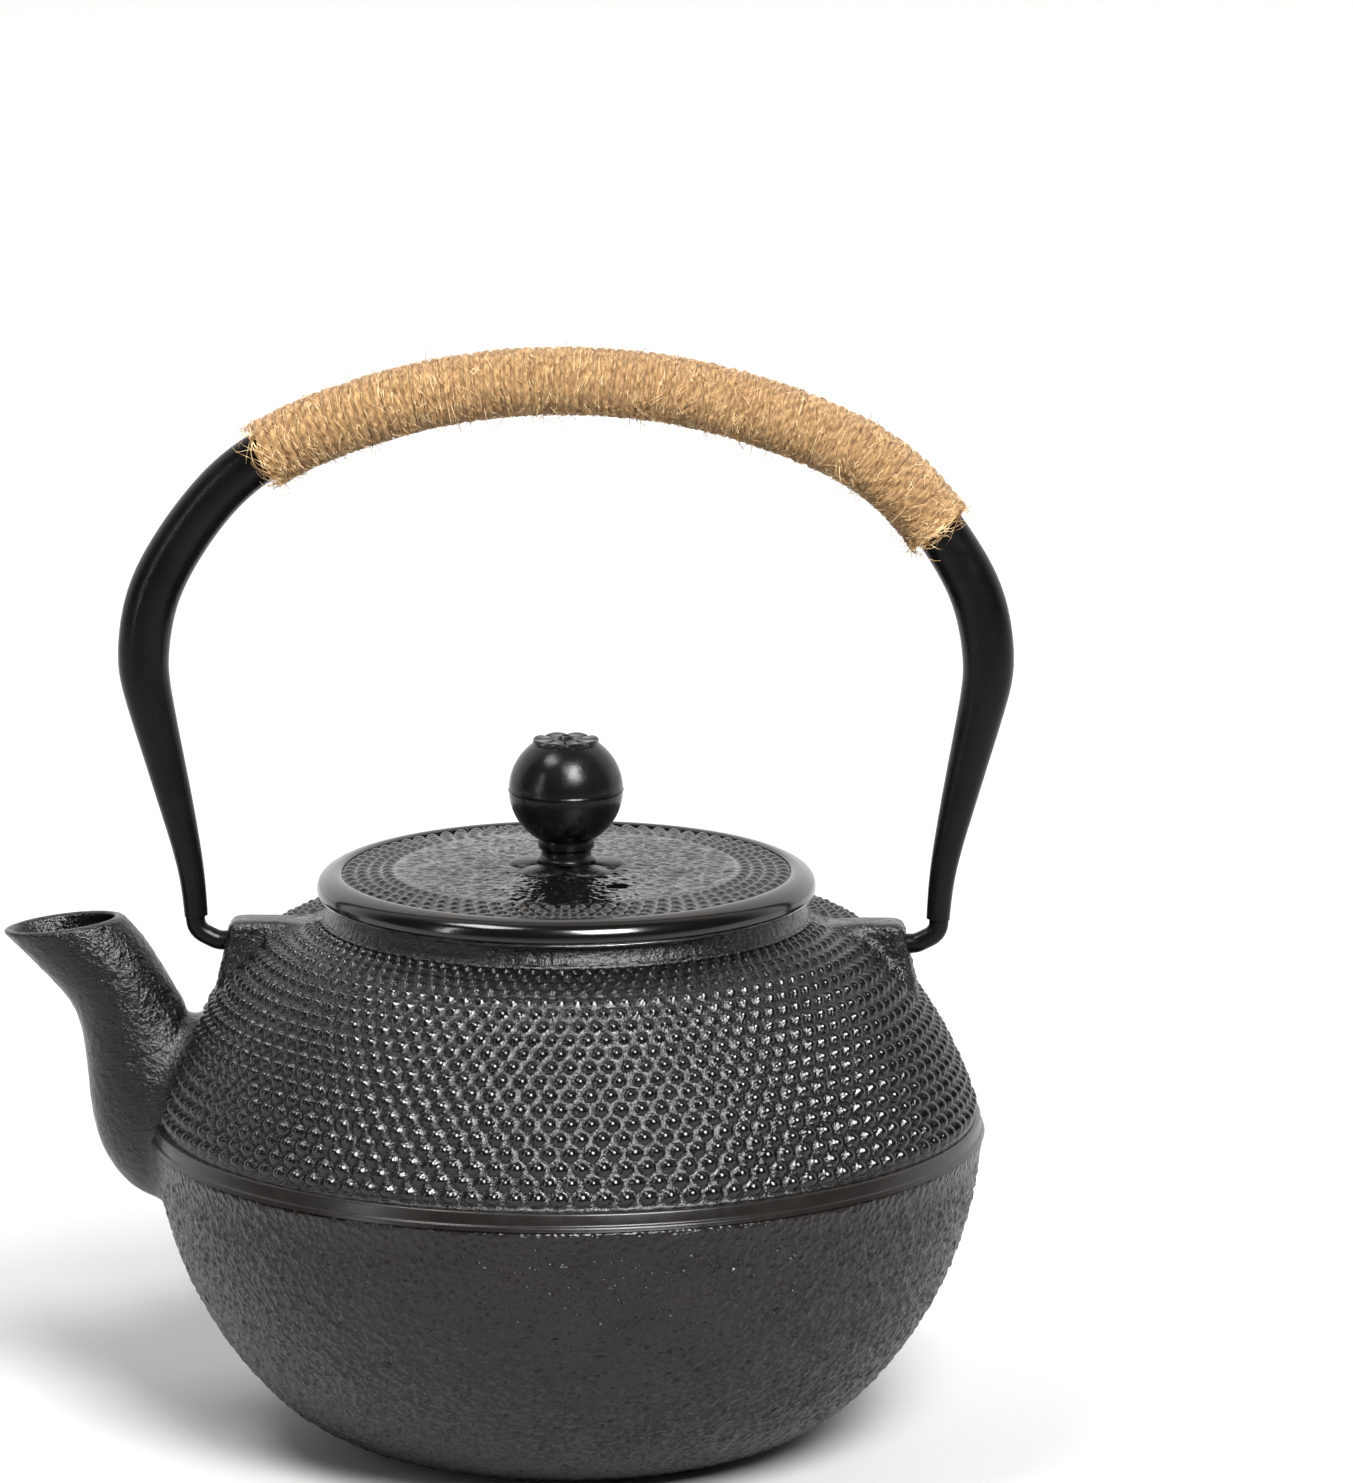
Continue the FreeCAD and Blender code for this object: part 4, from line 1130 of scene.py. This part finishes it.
def softbox(name, direction, distance, width, height, power):
    """Area light at that distance along a direction from the pot, turned to face it."""
    data = bpy.data.lights.new(name, "AREA")
    data.shape = "RECTANGLE"
    data.size, data.size_y = width, height
    data.energy = power
    light = bpy.data.objects.new(name, data)
    target = Vector((0.0, 0.0, 0.09))
    light.location = target + Vector(direction).normalized() * distance
    light.rotation_euler = (target - light.location).to_track_quat("-Z", "Y").to_euler()
    bpy.context.scene.collection.objects.link(light)


def make_studio():
    """Floor sheet, pale surroundings and three softboxes."""
    half = 9.0
    floor = bpy.data.meshes.new("floor")
    floor.from_pydata([(x * half, y * half, 0) for x, y in ((-1, -1), (1, -1), (1, 1), (-1, 1))],
                      [], [(0, 1, 2, 3)])
    floor.materials.append(floor_material("floor"))
    plane = bpy.data.objects.new("floor", floor)
    plane.location.z = -0.0002
    bpy.context.scene.collection.objects.link(plane)
    make_world()
    softbox("key", (0.29, -0.67, 0.68), 4.0, 1.5, 2.0, 375.0)
    softbox("top", (-0.40, -0.20, 0.90), 3.0, 1.0, 0.8, 40.0)
    softbox("strip", (-0.80, -0.58, 0.24), 2.4, 0.11, 1.8, 10.0)
    bpy.context.scene.view_settings.view_transform = "Standard"


def make_world():
    """Pale studio: bright walls behind the pot and darker ones in front of it."""
    world = bpy.data.worlds.new("studio")
    world.use_nodes = True
    tree = world.node_tree
    background = tree.nodes["Background"]
    where = tree.nodes.new("ShaderNodeTexCoord")
    split = tree.nodes.new("ShaderNodeSeparateXYZ")
    shade = tree.nodes.new("ShaderNodeMapRange")
    shade.interpolation_type = "SMOOTHSTEP"
    for name, value in (("From Min", -0.02), ("From Max", 0.50),
                        ("To Min", 0.05), ("To Max", 1.25)):
        shade.inputs[name].default_value = value
    tree.links.new(where.outputs["Generated"], split.inputs["Vector"])
    tree.links.new(split.outputs["Y"], shade.inputs["Value"])
    tree.links.new(shade.outputs["Result"], background.inputs["Strength"])
    background.inputs["Color"].default_value = (1.0, 0.985, 0.96, 1.0)
    bpy.context.scene.world = world


MATERIALS = {
    "neck": iron_material("cast_iron_neck", grain=0.0005, depth=0.00019, gloss=(0.11, 0.20),
                          level=0.42),
    "blossom": iron_material("cast_iron_blossom", depth=0.00012, gloss=(0.20, 0.34)),
    "spout": iron_material("cast_iron_spout", grain=0.0006, depth=0.00028, gloss=(0.09, 0.17),
                           level=0.42),
    "lug": iron_material("cast_iron_lug", grain=0.0006, depth=0.00028, gloss=(0.12, 0.20),
                         level=0.46),
    "bowl": leather_material("cast_iron_bowl"),
    "hobnail": hobnail_material("cast_iron_hobnail"),
    "lid": hobnail_material("cast_iron_lid", ground_gloss=(0.10, 0.20), grain=0.0008,
                            depth=0.00005, level=0.62),
    "knob": gloss_material("knob_gloss", rough=(0.20, 0.30), shade=0.003, level=0.24),
    "bail": gloss_material("bail_paint", rough=(0.20, 0.34), shade=0.0025, level=0.15),
    "steel": steel_material("stainless", stretch=(1, 1, 40)),
    "mesh": steel_material("stainless_wire", stretch=(1, 1, 1)),
    "jute": jute_material("jute"),
    "fibre": hair_material("jute_hair"),
}


def repaint(node, material):
    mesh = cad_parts[node].data
    mesh.materials.clear()
    mesh.materials.append(MATERIALS[material])


make_camera()
make_casting()
make_lid()
make_knob_seat()
make_knob()
make_mesh_wall()
make_mesh_base()
make_bail()
bail_line = Grip()
make_yarn(bail_line)
make_fibres(bail_line)
for node in ("infuser_rim", "infuser_base_band", "knob_washer", "knob_screw"):
    repaint(node, "steel")
for node in ("bail_hook_front", "bail_hook_rear"):
    repaint(node, "bail")
make_studio()
